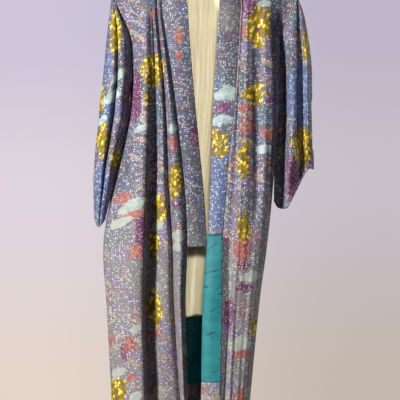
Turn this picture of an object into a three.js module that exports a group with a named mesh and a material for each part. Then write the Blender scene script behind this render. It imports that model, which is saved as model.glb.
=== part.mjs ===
// A lined silk kimono robe hanging open on a wooden hanger, in millimetres, +Z up.
// The origin is the top of the hook's inside, where the hook rests on a rail. +X is the
// wearer's left, -Y the front. "drop" is the height below the side neck point.
//
// Each cloth piece is a wall along a surface. A surface is a stack of horizontal sections:
// a table gives each fold's place (x) and depth (y) at six heights, and smooth curves join them.
import * as THREE from "three";

// ---- Driving dimensions -------------------------------------------------------------
const WALL = 1.6; // face cloth with its own lining behind it
const LINING_WALL = 1.2;
const COLLAR_WALL = 2.6; // the collar is folded double
const SEAM_GAP = 0.5; // between pieces that are sewn together
const LINING_GAP = 1.0; // between the face cloth and a lining that lies on it

const NECK_DROP = 96; // hook rest to side neck point
const NECK_HALF = 90; // neck cut, to each side of the centre
const NECK_BACK = 30; // how far the neck cut reaches back
const NECK_DIP = 14; // and how far down it reaches there
const HEM = 1430; // side neck point to hem
const SHOULDER_TIP = 258; // where the sleeve is sewn on, from the centre
const DEGREE = Math.PI / 180;
const SHOULDER_SLOPE = Math.tan(18 * DEGREE);
const RIDGE_RADIUS = 9; // cloth bends over the hanger's arm
const SHOULDER_FALL = 150; // below this the shoulder no longer shapes the cloth
const TIP_FALL = 52; // the shoulder line falls this much more between the hanger's end and the tip

const OVERLAP_TOP = 235; // the overlap panel's point, under the collar
const ARMHOLE_END = 340; // the sleeve is sewn on down to here
const SIDE_SEAM_TOP = 470; // and below here the sides are sewn shut
const SIDE_GAP = 1.2;
const ARMHOLE_GAP = 2.8;
const ARMHOLE_LAP = { right: 3.8, left: 4.6 }; // the sleeve's edge lies this far outside the body's
const ARMHOLE_SPREAD = 20; // front edge to back edge in the open armhole

const CUFF_ROUND = 40; // the cuff's slit stops this far above its seam
const COLLAR_CROWN = 5; // the band bows a little between its edges
const COLLAR_END_RIGHT = 832;
const COLLAR_END_LEFT = 797;
const CREAM_TOP = 40; // lining seams on the inside of the back
const CREAM_END = 1041;
const TEAL_END = 1241;
const FLAP_TEAL_END = 1226; // where the turned-back flap's lining stops

const HANGER_HALF = 205;
const HANGER_THICK = 11;
const HANGER_HEIGHT = 26;
const HANGER_GAP = 0.6; // under the cloth that rests on it
const HANGER_DIP = 3; // lower between the collar's sides
const HOOK_RADIUS = 22; // of the wire's centreline
const HOOK_WIRE = 4;
const HOOK_FOOT = -70.9; // its straight end stands on the arms here

const HEIGHTS = { yoke: 116, bust: 406, hip: 667, thigh: 826, knee: 1000, hem: HEM };
const DROPS = Object.values(HEIGHTS);
const YOKE = DROPS[0];

// ---- Fold tables --------------------------------------------------------------------
// One row for each fold line from the side seam to the front edge. "shoulder" is its x on
// the shoulder line; x and y are given at yoke, bust, hip, thigh, knee and hem.
const FRONT_RIGHT = [
  { fold: "side", shoulder: -258, x: [-214, -216, -268, -294, -285, -262], y: [4, 14, 20, 24, 28, 30] },
  { fold: "flare", shoulder: -242, x: [-206, -208, -260, -290, -282, -256], y: [-12, -4, -8, -14, -10, -8] },
  { fold: "slope", shoulder: -228, x: [-198, -199, -248, -276, -270, -244], y: [-20, -22, -24, -28, -26, -24] },
  { fold: "broad", shoulder: -214, x: [-187, -186, -226, -254, -252, -230], y: [-32, -50, -50, -44, -42, -40] },
  { fold: "crest", shoulder: -190, x: [-170, -166, -174, -180, -184, -172], y: [-41, -60, -64, -64, -62, -58] },
  { fold: "drop", shoulder: -176, x: [-160, -152, -160, -166, -172, -160], y: [-42, -44, -24, -20, -16, -12] },
  { fold: "floor", shoulder: -164, x: [-152, -141, -148, -154, -161, -149], y: [-40, -32, -16, -12, -8, -4] },
  { fold: "inner", shoulder: -152, x: [-148, -131, -138, -140, -144, -128], y: [-38, -34, -22, -19, -15, -9] },
  { fold: "plain", shoulder: -138, x: [-144, -122, -116, -106, -104, -78], y: [-35, -34, -30, -25, -18, -8] },
  { fold: "seam", shoulder: -124, x: [-140, -115, -103, -93, -88, -58], y: [-26, -17, -12, -6, 0, 6] },
  { fold: "roll", shoulder: -106, x: [-134, -100, -82, -74, -72, -52], y: [-36, -51, -54, -52, -48, -40] },
  { fold: "edge", shoulder: -90, x: [-127, -84, -56, -49, -54, -42], y: [-32, -36, -36, -34, -22, -14] },
];
const FRONT_LEFT = [
  { fold: "side", shoulder: 258, x: [222, 212, 192, 173, 150, 108], y: [4, 22, 26, 28, 30, 34] },
  { fold: "turn", shoulder: 236, x: [212, 218, 200, 184, 161, 120], y: [-14, -4, 0, 4, 8, 12] },
  { fold: "right", shoulder: 214, x: [196, 205, 190, 176, 154, 113], y: [-30, -36, -36, -30, -28, -24] },
  { fold: "crest", shoulder: 192, x: [176, 182, 172, 159, 139, 100], y: [-39, -52, -50, -47, -44, -39] },
  { fold: "dip", shoulder: 174, x: [155, 156, 153, 141, 122, 86], y: [-36, -42, -45, -50, -49, -45] },
  { fold: "swell", shoulder: 158, x: [138, 132, 132, 122, 104, 73], y: [-41, -58, -58, -55, -52, -48] },
  { fold: "front", shoulder: 142, x: [124, 113, 109, 101, 87, 62], y: [-42, -61, -62, -58, -54, -50] },
  { fold: "lip", shoulder: 126, x: [115, 103, 96, 89, 76, 53], y: [-34, -49, -51, -49, -45, -41] },
  { fold: "under", shoulder: 118, x: [120, 112, 107, 101, 89, 68], y: [-27, -35, -37, -35, -31, -27] },
  { fold: "seam", shoulder: 110, x: [121, 112, 108, 102, 90, 70], y: [-19, -22, -23, -21, -17, -13] },
  { fold: "strip", shoulder: 102, x: [116, 102, 90, 78, 68, 56], y: [-17, -18, -18, -15, -10, -6] },
  { fold: "edge", shoulder: 90, x: [110, 92, 66, 54, 46, 38], y: [-20, -22, -22, -16, -10, -5] },
  { fold: "behind", shoulder: 80, x: [90, 72, 40, 28, 16, 8], y: [-18, -18, -18, -14, -10, -5] },
  { fold: "bend", shoulder: 70, x: [80, 60, 20, 11, -1, -8], y: [-26, -26, -24, -21, -18, -13] },
  { fold: "flap", shoulder: 80, x: [90, 72, 40, 30, 20, 12], y: [-33, -33, -33, -30, -29, -25] },
  { fold: "free", shoulder: 90, x: [110, 92, 66, 54, 53, 47], y: [-34, -34, -34, -31, -30, -27] },
];
// Across the back from the right side seam to the left one. The centre row is the back seam.
const BACK = [
  { fold: "sideright", shoulder: -258, x: [-214, -216, -268, -294, -285, -262], y: [4, 14, 20, 24, 28, 30] },
  { fold: "ridge1", shoulder: -216, x: [-198, -194, -238, -258, -256, -240], y: [32, 54, 62, 68, 72, 78] },
  { fold: "valley1", shoulder: -172, x: [-165, -164, -196, -216, -218, -214], y: [40, 54, 60, 62, 64, 66] },
  { fold: "ridge2", shoulder: -128, x: [-128, -130, -150, -172, -178, -178], y: [47, 74, 92, 98, 104, 110] },
  { fold: "valley2", shoulder: -84, x: [-85, -88, -108, -124, -134, -142], y: [49, 64, 70, 70, 72, 74] },
  { fold: "ridge3", shoulder: -42, x: [-45, -48, -62, -75, -88, -102], y: [54, 82, 100, 106, 112, 118] },
  { fold: "centre", shoulder: 0, x: [0, -4, -14, -24, -36, -58], y: [50, 70, 80, 84, 88, 92] },
  { fold: "ridge4", shoulder: 42, x: [45, 40, 28, 16, 2, -26], y: [54, 80, 96, 102, 108, 114] },
  { fold: "valley3", shoulder: 84, x: [85, 80, 66, 52, 36, 4], y: [49, 62, 68, 68, 70, 72] },
  { fold: "ridge5", shoulder: 128, x: [128, 120, 104, 88, 72, 34], y: [47, 76, 94, 100, 106, 112] },
  { fold: "valley4", shoulder: 172, x: [165, 156, 138, 120, 102, 60], y: [40, 54, 60, 60, 62, 64] },
  { fold: "ridge6", shoulder: 216, x: [198, 186, 170, 150, 130, 88], y: [32, 54, 62, 64, 66, 72] },
  { fold: "sideleft", shoulder: 258, x: [222, 212, 192, 173, 150, 108], y: [4, 22, 26, 28, 30, 34] },
];
const col = (table, fold) => table.findIndex((row) => row.fold === fold);

// A sleeve hangs as a flattened bag. "across" runs from the armhole (0) to the outer
// silhouette (1); y is the depth at the sleeve's top, middle and bottom.
const SLEEVE_RIGHT = {
  side: -1,
  outline: [
    { drop: 112, out: 270 }, { drop: 200, out: 281 }, { drop: 360, out: 297 },
    { drop: 480, out: 311 }, { drop: 600, out: 322 }, { drop: 773, out: 320 },
  ],
  inner: [
    { drop: 106, x: 264 }, { drop: 200, x: 226 }, { drop: 340, x: 212 }, { drop: 406, x: 217.5 },
    { drop: 450, x: 220.2 }, { drop: 530, x: 236.2 }, { drop: 600, x: 252.5 },
    { drop: 667, x: 266.8 }, { drop: 730, x: 283.5 }, { drop: 773, x: 291 },
  ],
  bottom: [
    { across: 0, drop: 752 }, { across: 0.35, drop: 770 }, { across: 0.7, drop: 773 }, { across: 1, drop: 752 },
  ],
  cuff: { from: 430, to: 660 },
  folds: [
    { fold: "inner", across: 0, y: [4, -12, -12] },
    { fold: "slope", across: 0.1, y: [-22, -14, -14] },
    { fold: "ridge1", across: 0.24, y: [-26, -38, -30] },
    { fold: "ridge1b", across: 0.42, y: [-26, -36, -30] },
    { fold: "crease", across: 0.5, y: [-14, -8, -10] },
    { fold: "ridge2", across: 0.6, y: [-24, -38, -28] },
    { fold: "ridge2b", across: 0.86, y: [-18, -30, -22] },
    { fold: "outer", across: 1, y: [4, 8, 4] },
    { fold: "back1", across: 0.84, y: [24, 44, 26] },
    { fold: "back2", across: 0.6, y: [22, 30, 20] },
    { fold: "back3", across: 0.4, y: [32, 54, 32] },
    { fold: "back4", across: 0.2, y: [30, 44, 26] },
    { fold: "innerback", across: 0, y: [24, 0, 0] },
  ],
};
const SLEEVE_LEFT = {
  side: 1,
  outline: [
    { drop: 112, out: 276 }, { drop: 150, out: 290 }, { drop: 203, out: 301 }, { drop: 290, out: 313 },
    { drop: 406, out: 316 }, { drop: 551, out: 320 }, { drop: 722, out: 322 },
  ],
  inner: [
    { drop: 106, x: 264 }, { drop: 200, x: 232 }, { drop: 340, x: 217 }, { drop: 470, x: 214 },
    { drop: 560, x: 208 }, { drop: 722, x: 204 },
  ],
  bottom: [
    { across: 0, drop: 700 }, { across: 0.1, drop: 718 }, { across: 0.32, drop: 720 }, { across: 0.4, drop: 706 },
    { across: 0.84, drop: 608 }, { across: 1, drop: 606 },
  ],
  cuff: { from: 390, to: 590 },
  folds: [
    { fold: "inner", across: 0, y: [4, 24, 18] },
    { fold: "hollow", across: 0.16, y: [-20, 28, 22] },
    { fold: "wall", across: 0.26, y: [-24, 0, 4] },
    { fold: "ridge1", across: 0.36, y: [-26, -38, -30] },
    { fold: "ridge1b", across: 0.52, y: [-26, -38, -30] },
    { fold: "crease", across: 0.7, y: [-14, -16, -14] },
    { fold: "ridge2", across: 0.86, y: [-20, -32, -26] },
    { fold: "outer", across: 1, y: [4, 6, 4] },
    { fold: "back1", across: 0.84, y: [26, 46, 34] },
    { fold: "back2", across: 0.6, y: [24, 34, 28] },
    { fold: "back3", across: 0.36, y: [34, 58, 44] },
    { fold: "back4", across: 0.16, y: [30, 52, 40] },
    { fold: "innerback", across: 0, y: [24, 40, 32] },
  ],
};

// The collar's free edge down each front, and both edges round the neck.
const COLLAR_FREE = {
  right: [
    { drop: 116, x: -49, y: -46 }, { drop: 261, x: -39, y: -34 }, { drop: 406, x: -27, y: -26 },
    { drop: 551, x: -13, y: -22 }, { drop: 696, x: 1, y: -20 }, { drop: 832, x: 8, y: -18 },
  ],
  left: [
    { drop: 116, x: 45, y: -40 }, { drop: 261, x: 37, y: -24 }, { drop: 406, x: 28, y: -14 },
    { drop: 551, x: 23, y: -12 }, { drop: 696, x: 17, y: -12 }, { drop: 797, x: 13, y: -14 },
  ],
};
// Where the collar passes over the shoulder seam, then round the neck cut by its angle.
const COLLAR_SHOULDER = [
  { seamX: 96, seamY: -18, seamDrop: 28, freeX: 50, freeY: -40, freeDrop: 30 },
  { seamX: 87.4, seamY: -9, seamDrop: 1.5, freeX: 50, freeY: -22, freeDrop: -18 },
];
const COLLAR_NECK = [
  { angle: 6, freeX: 48, freeY: 0, freeDrop: -32 },
  { angle: 28, freeX: 45, freeY: 18, freeDrop: -37 },
  { angle: 50, freeX: 36, freeY: 33, freeDrop: -40 },
  { angle: 70, freeX: 19, freeY: 42, freeDrop: -42 },
  { angle: 90, freeX: 0, freeY: 45, freeDrop: -43 },
];

// ---- Smooth curves through table values ---------------------------------------------
const mix = (a, b, t) => a + (b - a) * t;
const clamp01 = (t) => Math.min(1, Math.max(0, t));
const smooth = (t) => clamp01(t) ** 2 * (3 - 2 * clamp01(t));

// A cubic through (places, values), with the slopes of its neighbours' chords.
function through(places, values, at) {
  const last = places.length - 1;
  if (at <= places[0]) return values[0];
  if (at >= places[last]) return values[last];
  const slope = (i) => {
    const a = Math.max(0, i - 1);
    const b = Math.min(last, i + 1);
    return (values[b] - values[a]) / (places[b] - places[a]);
  };
  let i = 0;
  while (places[i + 1] < at) i++;
  const width = places[i + 1] - places[i];
  const t = (at - places[i]) / width;
  return (
    values[i] * (2 * t ** 3 - 3 * t ** 2 + 1) +
    values[i + 1] * (3 * t ** 2 - 2 * t ** 3) +
    slope(i) * width * (t ** 3 - 2 * t ** 2 + t) +
    slope(i + 1) * width * (t ** 3 - t ** 2)
  );
}
const read = (rows, key, at, by = "drop") =>
  through(rows.map((r) => r[by]), rows.map((r) => r[key]), at);

// A section's curve: u counts fold lines, and a Catmull-Rom curve joins them.
function across(count, valueOf, u) {
  const i = Math.min(count - 2, Math.max(0, Math.floor(u)));
  const t = u - i;
  const [a, b, c, d] = [i - 1, i, i + 1, i + 2].map((k) => valueOf(Math.min(count - 1, Math.max(0, k))));
  return b + 0.5 * t * (c - a + t * (2 * a - 5 * b + 4 * c - d + t * (3 * (b - c) + d - a)));
}

// ---- Body surfaces ------------------------------------------------------------------
const point = (x, y, drop) => new THREE.Vector3(x, y, -NECK_DROP - drop);

function shoulderDrop(x) {
  const past = Math.max(0, Math.abs(x) - HANGER_HALF);
  const atTip = (SHOULDER_TIP - HANGER_HALF) ** 2;
  return (Math.abs(x) - NECK_HALF) * SHOULDER_SLOPE + (TIP_FALL * past ** 2) / atTip;
}
const neckShare = (x) => Math.sqrt(Math.max(0, 1 - (x / NECK_HALF) ** 2));
// How far back and down a back panel's top edge is.
const topBack = (x, facing) => (facing > 0 && Math.abs(x) < NECK_HALF ? NECK_BACK * neckShare(x) : 0);
const topDrop = (x, facing) =>
  facing > 0 && Math.abs(x) < NECK_HALF ? NECK_DIP * neckShare(x) : shoulderDrop(x);

// facing is -1 for a front and +1 for the back. u counts the table's fold lines; v is a drop
// below the yoke, or from -100 at the shoulder line to 0 at the yoke.
function bodySurface(table, facing) {
  const sides = table.map((row) => facing > 0 && row.fold.startsWith("side"));
  const valueAt = (row, key, drop) => {
    const value = through(DROPS, table[row][key], drop);
    if (key === "x" || !sides[row]) return value;
    return value + SIDE_GAP + ARMHOLE_SPREAD * smooth((SIDE_SEAM_TOP - drop) / (SIDE_SEAM_TOP - YOKE));
  };
  return (u, v) => {
    const shoulderX = across(table.length, (k) => table[k].shoulder, u);
    const top = topDrop(shoulderX, facing);
    const drop = v < 0 ? mix(top, YOKE, 1 + v / 100) : YOKE + v;
    const below = Math.max(0, drop - top);
    const fall = smooth(below / SHOULDER_FALL);
    const x = across(table.length, (k) => valueAt(k, "x", drop), u);
    const y = across(table.length, (k) => valueAt(k, "y", drop), u);
    const start = facing * (SEAM_GAP / 2) + topBack(shoulderX, facing);
    const radius = RIDGE_RADIUS * (1 - topBack(shoulderX, facing) / NECK_BACK);
    const round = radius ? Math.sqrt(1 - (1 - clamp01(below / radius)) ** 2) * radius : 0;
    return point(mix(shoulderX, x, fall), mix(start + facing * round, y, fall), drop);
  };
}
const panel = {
  right: { front: bodySurface(FRONT_RIGHT, -1), table: FRONT_RIGHT },
  left: { front: bodySurface(FRONT_LEFT, -1), table: FRONT_LEFT },
};
const back = bodySurface(BACK, 1);

// ---- Walls --------------------------------------------------------------------------
// Places from a to b with no step over "step", b included.
function steps(a, b, step) {
  const n = Math.max(1, Math.ceil((b - a) / step - 1e-6));
  return Array.from({ length: n + 1 }, (_, i) => mix(a, b, i / n));
}
function stops(marks, step) {
  const all = marks.slice(1).flatMap((b, i) => steps(marks[i], b, step).slice(1));
  return [marks[0], ...all];
}

// The unit normal of surface(u, v), from points just beside it.
function normalAt(surface, u, v, limits) {
  const [uLow, uHigh, vLow, vHigh] = limits;
  const [du, dv] = [0.02, Math.min(1, (vHigh - vLow) * 1e-3)];
  const alongU = surface(Math.min(uHigh, u + du), v).sub(surface(Math.max(uLow, u - du), v));
  const alongV = surface(u, Math.min(vHigh, v + dv)).sub(surface(u, Math.max(vLow, v - dv)));
  return alongU.cross(alongV).normalize();
}

// A closed wall from points and normals. faces are rings of point numbers, counter-clockwise
// seen from the normals' side; each loose edge gets a rim.
function wallGeometry(points, normals, faces, thick, sink = []) {
  const count = points.length;
  const place = (i, sign) => {
    const p = points[i].clone().addScaledVector(normals[i], (sign * thick) / 2);
    if (sink[i]) p.z -= sign * sink[i];
    return p;
  };
  const corners = [1, -1].flatMap((sign) => points.map((_, i) => place(i, sign)));
  const index = [];
  const used = new Set(faces.flatMap((f) => f.map((a, k) => a + ">" + f[(k + 1) % f.length])));
  for (const face of faces) {
    for (let k = 1; k + 1 < face.length; k++) {
      index.push(face[0], face[k], face[k + 1]);
      index.push(face[0] + count, face[k + 1] + count, face[k] + count);
    }
    face.forEach((a, k) => {
      const b = face[(k + 1) % face.length];
      if (used.has(b + ">" + a)) return;
      index.push(b, a, a + count, b, a + count, b + count);
    });
  }
  const geometry = new THREE.BufferGeometry();
  geometry.setAttribute("position", new THREE.Float32BufferAttribute(corners.flatMap((c) => c.toArray()), 3));
  geometry.setIndex(index);
  const tidy = geometry.toNonIndexed();
  tidy.computeVertexNormals();
  return tidy;
}

// A wall over a grid of surface(u, v). keep says which cells it has, by their middle.
function gridWall(surface, us, vs, { thick = WALL, offset = 0, keep = () => true, limits, flip = false }) {
  const bounds = limits ?? [us[0], us.at(-1), vs[0], vs.at(-1)];
  const points = [];
  const normals = [];
  for (const v of vs) {
    for (const u of us) {
      const n = normalAt(surface, u, v, bounds);
      if (flip) n.negate();
      points.push(surface(u, v).addScaledVector(n, offset));
      normals.push(n);
    }
  }
  const faces = [];
  for (let j = 0; j + 1 < vs.length; j++) {
    for (let i = 0; i + 1 < us.length; i++) {
      if (!keep((us[i] + us[i + 1]) / 2, (vs[j] + vs[j + 1]) / 2)) continue;
      const a = j * us.length + i;
      const ring = [a, a + 1, a + us.length + 1, a + us.length];
      faces.push(flip ? ring.reverse() : ring);
    }
  }
  const slots = new Map([...new Set(faces.flat())].map((old, i) => [old, i]));
  const kept = [...slots.keys()];
  return wallGeometry(
    kept.map((i) => points[i]),
    kept.map((i) => normals[i]),
    faces.map((f) => f.map((i) => slots.get(i))),
    thick,
  );
}

// ---- Body panels --------------------------------------------------------------------
const YOKE_ROWS = [-100, -98.5, -96, -88, -70, -40];
const FRONT_ROW = 66; // heights of a row of wall
const BACK_ROW = 80;
const BOTTOM = HEM - YOKE;
const rowsAt = (drops, step) => stops(drops, step).map((drop) => drop - YOKE);
const backRows = [...YOKE_ROWS, ...rowsAt([YOKE, ARMHOLE_END, CREAM_END, TEAL_END, HEM], BACK_ROW)];
const frontLimits = (table) => [0, table.length - 1, -100, BOTTOM];
const backLimits = frontLimits(BACK);

function frontPanel(side) {
  const { front, table } = panel[side];
  const [seam, edge] = [col(table, "seam"), col(table, "edge")];
  const upper = rowsAt([YOKE, OVERLAP_TOP], 40).slice(0, -1);
  const rows = [...YOKE_ROWS, ...upper, ...rowsAt([OVERLAP_TOP, COLLAR_END_LEFT, HEM], FRONT_ROW)];
  return gridWall(front, steps(0, edge, 0.5), rows, {
    keep: (u, v) => u < seam || v < OVERLAP_TOP - YOKE,
    flip: side === "right",
    limits: frontLimits(table),
  });
}
const CENTRE = col(BACK, "centre");
const HALF_SEAM = SEAM_GAP / 2 / 42; // in fold lines
// A column to each side of every fold line keeps the folds round.
const besides = BACK.flatMap((_, k) => [k - 0.27, k + 0.27]).slice(1, -1);
const rightColumns = [0, ...besides.filter((u) => u < CENTRE), CENTRE - HALF_SEAM];
const leftColumns = [CENTRE + HALF_SEAM, ...besides.filter((u) => u > CENTRE), BACK.length - 1];
function backPanel(side) {
  return gridWall(back, side === "right" ? rightColumns : leftColumns, backRows, { limits: backLimits });
}

// The overlap panel runs from its seam on the front to the front edge. On the left its
// edge is turned outwards below the collar, so the panel bends round to its free edge.
function overlapPanel(side) {
  const { front, table } = panel[side];
  const [seam, edge, last] = [col(table, "seam"), col(table, "edge"), table.length - 1];
  const flapTop = COLLAR_END_LEFT + 2.5;
  const rows = rowsAt([OVERLAP_TOP + SEAM_GAP, COLLAR_END_LEFT, flapTop, HEM], FRONT_ROW);
  return gridWall(front, [seam + SEAM_GAP / 12, ...steps(seam, last, 0.5).slice(1)], rows, {
    keep: (u, v) => u < edge || v > flapTop - YOKE,
    flip: side === "right",
    limits: frontLimits(table),
  });
}

// A lining follows the face cloth's points, moved to its inner side.
const INWARD = -(WALL / 2 + LINING_GAP + LINING_WALL / 2);
function backLining(from, to) {
  const inside = backRows.filter((v) => v > from - YOKE + 5 && v < to - YOKE - 5);
  const rows = [from < YOKE ? -60 : from - YOKE, ...inside, to - YOKE];
  const us = [...besides.filter((u) => u < CENTRE), CENTRE, ...besides.filter((u) => u > CENTRE)];
  return gridWall(back, us.slice(1, -1), rows, {
    thick: LINING_WALL,
    offset: INWARD,
    limits: backLimits,
  });
}
function flapLining(from, to) {
  const { front, table } = panel.left;
  const [bend, last] = [col(table, "bend"), table.length - 1];
  const us = [...steps(bend, last, 0.5).slice(0, -1), last - 0.06];
  return gridWall(front, us, rowsAt([from, to], FRONT_ROW), {
    thick: LINING_WALL,
    offset: INWARD,
    limits: frontLimits(table),
  });
}

// ---- Sleeves ------------------------------------------------------------------------
const SLEEVE_TOP = 112;
function sleeveSurface(sleeve) {
  const { side, outline, inner, bottom, folds } = sleeve;
  const { front, table } = side < 0 ? panel.right : panel.left;
  const turn = col(folds, "outer");
  const seamAt = (u, drop) => {
    const v = drop - YOKE;
    const isFront = u <= turn;
    const at = isFront ? 0.1 : side < 0 ? 0.1 : BACK.length - 1.1;
    const surface = isFront ? front : back;
    const n = normalAt(surface, at, v, isFront ? frontLimits(table) : backLimits);
    if (isFront && side < 0) n.negate();
    const p = surface(at, v).addScaledVector(n, side < 0 ? ARMHOLE_LAP.right : ARMHOLE_LAP.left);
    // At the top the two edges only meet; further down the sleeve laps over the body.
    const clear = mix(ARMHOLE_GAP, -10, smooth((drop - 150) / 110));
    p.x = side * Math.max(Math.abs(p.x), Math.abs(front(0, v).x) + clear);
    return p;
  };
  const value = (key, u) => across(folds.length, (k) => folds[k][key], u);
  // v runs from 0 at the top to 1 at the bottom edge, which is not level.
  return (u, v) => {
    const share = clamp01(value("across", u));
    const drop = mix(SLEEVE_TOP, read(bottom, "drop", share, "across"), v);
    const depth = across(folds.length, (k) => through([0.1, 0.5, 1], folds[k].y, v), u);
    const opened = mix(0.6, 1, smooth((drop - SLEEVE_TOP) / 160));
    const closed = 1 - 0.7 * smooth((v - 0.78) / 0.22);
    const middle = mix(4, 10, v);
    const x = side * mix(read(inner, "x", drop), read(outline, "out", drop), share);
    const p = point(x, middle + (depth - middle) * opened * closed, drop);
    const sewn = (1 - smooth(share / 0.22)) * (1 - smooth((drop - ARMHOLE_END) / 60));
    if (sewn > 0) {
      const seam = seamAt(u, drop);
      p.x = mix(p.x, seam.x, sewn);
      p.y = mix(p.y, seam.y, sewn);
    }
    return p;
  };
}
function sleeveWall(sleeve) {
  const { side, folds, cuff, bottom } = sleeve;
  const surface = sleeveSurface(sleeve);
  const turn = col(folds, "outer");
  const half = 2 * turn; // wall columns on the front layer, and as many on the back
  const last = folds.length - 1;
  const us = Array.from({ length: 2 * half + 1 }, (_, k) =>
    k <= half ? (turn * k) / half : mix(turn, last, (k - half) / half),
  );
  const vs = [...steps(0, 0.24, 0.06), ...steps(0.24, 1, 0.095).slice(1)];
  const limits = [0, last, 0, 1];
  const normals = [];
  const points = [];
  for (const v of vs) {
    for (const u of us) {
      points.push(surface(u, v));
      const n = normalAt(surface, u, v, limits);
      normals.push(side > 0 ? n.negate() : n);
    }
  }
  const width = us.length;
  const outerEnd = bottom.at(-1).drop;
  const inCuff = (k, v) => {
    const drop = mix(SLEEVE_TOP, outerEnd, v);
    return (k === half || k === half - 1) && drop > cuff.from && drop < cuff.to - CUFF_ROUND;
  };
  const faces = [];
  for (let j = 0; j + 1 < vs.length; j++) {
    for (let k = 0; k + 1 < width; k++) {
      if (inCuff(k, (vs[j] + vs[j + 1]) / 2)) continue;
      const a = j * width + k;
      faces.push([a, a + 1, a + width + 1, a + width]);
    }
  }
  // The top is a fold and the bottom a seam: each front point meets the back point behind it.
  const foot = (vs.length - 1) * width;
  const sink = [];
  for (const row of [0, foot]) {
    for (let k = 0; k < half; k++) {
      const mirror = 2 * half - k;
      const ring = [row + k, row + k + 1, row + mirror - 1, row + mirror];
      const joined = k + 1 === half ? [row + k, row + k + 1, row + mirror] : ring;
      faces.push(row ? joined : joined.reverse());
    }
    for (let k = 0; k < width; k++) sink[row + k] = (row ? 0.6 : -0.6) * WALL;
  }
  return wallGeometry(points, normals, side > 0 ? faces.map((f) => f.reverse()) : faces, WALL, sink);
}

// ---- Collar -------------------------------------------------------------------------
// Each station holds the seam edge and the free edge of the band.
function collarStations() {
  const down = (side) => {
    const { front, table } = panel[side];
    const edge = col(table, "edge");
    const sign = side === "left" ? 1 : -1;
    const end = side === "left" ? COLLAR_END_LEFT : COLLAR_END_RIGHT;
    const free = COLLAR_FREE[side];
    return stops([YOKE - 40, YOKE, OVERLAP_TOP, end], 56).map((drop) => {
      const seam = front(edge, drop < YOKE ? (100 * (drop - YOKE)) / YOKE : drop - YOKE);
      seam.x -= sign * (SEAM_GAP + COLLAR_WALL * 0.35);
      const lifted = Math.max(0, YOKE - drop) / YOKE;
      return { seam, free: point(read(free, "x", drop), read(free, "y", drop) + 12 * lifted, drop) };
    });
  };
  const neck = (sign) => {
    const free = (n) => point(sign * n.freeX, n.freeY, n.freeDrop);
    const seam = ({ angle }) => {
      const [c, share] = [Math.cos(angle * DEGREE), Math.sin(angle * DEGREE)];
      return point(sign * (NECK_HALF * c - 1.2), NECK_BACK * share, NECK_DIP * share - mix(2.6, 1.3, share));
    };
    const shoulder = COLLAR_SHOULDER.map((n) => ({
      seam: point(sign * n.seamX, n.seamY, n.seamDrop),
      free: free(n),
    }));
    return [...shoulder, ...COLLAR_NECK.map((n) => ({ seam: seam(n), free: free(n) }))];
  };
  return [...down("right").reverse(), ...neck(-1), ...neck(1).reverse().slice(1), ...down("left")];
}
function collarWall() {
  const stations = collarStations();
  const last = stations.length - 1;
  const surface = (u, v) => {
    const part = (edge, axis) => across(last + 1, (k) => stations[k][edge][axis], v);
    const at = (edge) => new THREE.Vector3(part(edge, "x"), part(edge, "y"), part(edge, "z"));
    const [seam, free] = [at("seam"), at("free")];
    const p = seam.lerp(free, u);
    p.y -= COLLAR_CROWN * Math.sin(Math.PI * u) * smooth((-p.z - NECK_DROP) / 120);
    return p;
  };
  return gridWall(surface, steps(0, 1, 0.25), steps(0, last, 1), { thick: COLLAR_WALL });
}

// ---- Hanger -------------------------------------------------------------------------
function hangerArms() {
  // Half of the arm's section, from the top round the front to the bottom.
  const r = HANGER_THICK / 2;
  const section = [
    [0, 0], [-0.7 * r, -0.3 * r], [-r, -r], [-r, r - HANGER_HEIGHT], [-0.7 * r, 0.3 * r - HANGER_HEIGHT],
    [0, -HANGER_HEIGHT], [0.7 * r, 0.3 * r - HANGER_HEIGHT], [r, r - HANGER_HEIGHT], [r, -r], [0.7 * r, -0.3 * r],
  ];
  const xs = steps(-HANGER_HALF, HANGER_HALF, 30);
  const dip = (x) => HANGER_DIP * smooth((NECK_HALF + 8 - Math.abs(x)) / 10);
  const top = (x) => -NECK_DROP - shoulderDrop(x) - WALL / 2 - HANGER_GAP - dip(x);
  const corners = xs.flatMap((x) => {
    const slim = 1 - 0.35 * (Math.abs(x) / HANGER_HALF) ** 4;
    return section.map(([y, z]) => [x, y, top(x) + z * slim]);
  });
  const n = section.length;
  const index = [];
  for (let s = 0; s + 1 < xs.length; s++) {
    for (let k = 0; k < n; k++) {
      const [a, b] = [s * n + k, s * n + ((k + 1) % n)];
      index.push(a, b, b + n, a, b + n, a + n);
    }
  }
  const end = (xs.length - 1) * n;
  for (let k = 1; k + 1 < n; k++) {
    index.push(0, k + 1, k);
    index.push(end, end + k, end + k + 1);
  }
  const geometry = new THREE.BufferGeometry();
  geometry.setAttribute("position", new THREE.Float32BufferAttribute(corners.flat(), 3));
  geometry.setIndex(index);
  return geometry.toNonIndexed();
}
function hangerHook() {
  const wire = new THREE.Shape().absarc(0, 0, HOOK_WIRE / 2, 0, Math.PI * 2);
  const centre = -HOOK_RADIUS + HOOK_WIRE / 2;
  const arc = Array.from({ length: 12 }, (_, i) => {
    const angle = mix(200, -55, i / 11) * DEGREE;
    return new THREE.Vector3(HOOK_RADIUS * Math.cos(angle), 0, centre + HOOK_RADIUS * Math.sin(angle));
  });
  const foot = [-26, -34, HOOK_FOOT - centre].map((z, i) => new THREE.Vector3(i ? 0 : 3, 0, centre + z));
  const path = new THREE.CatmullRomCurve3([...arc, ...foot]);
  return new THREE.ExtrudeGeometry(wire, { steps: 22, curveSegments: 4, bevelEnabled: false, extrudePath: path });
}

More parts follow.
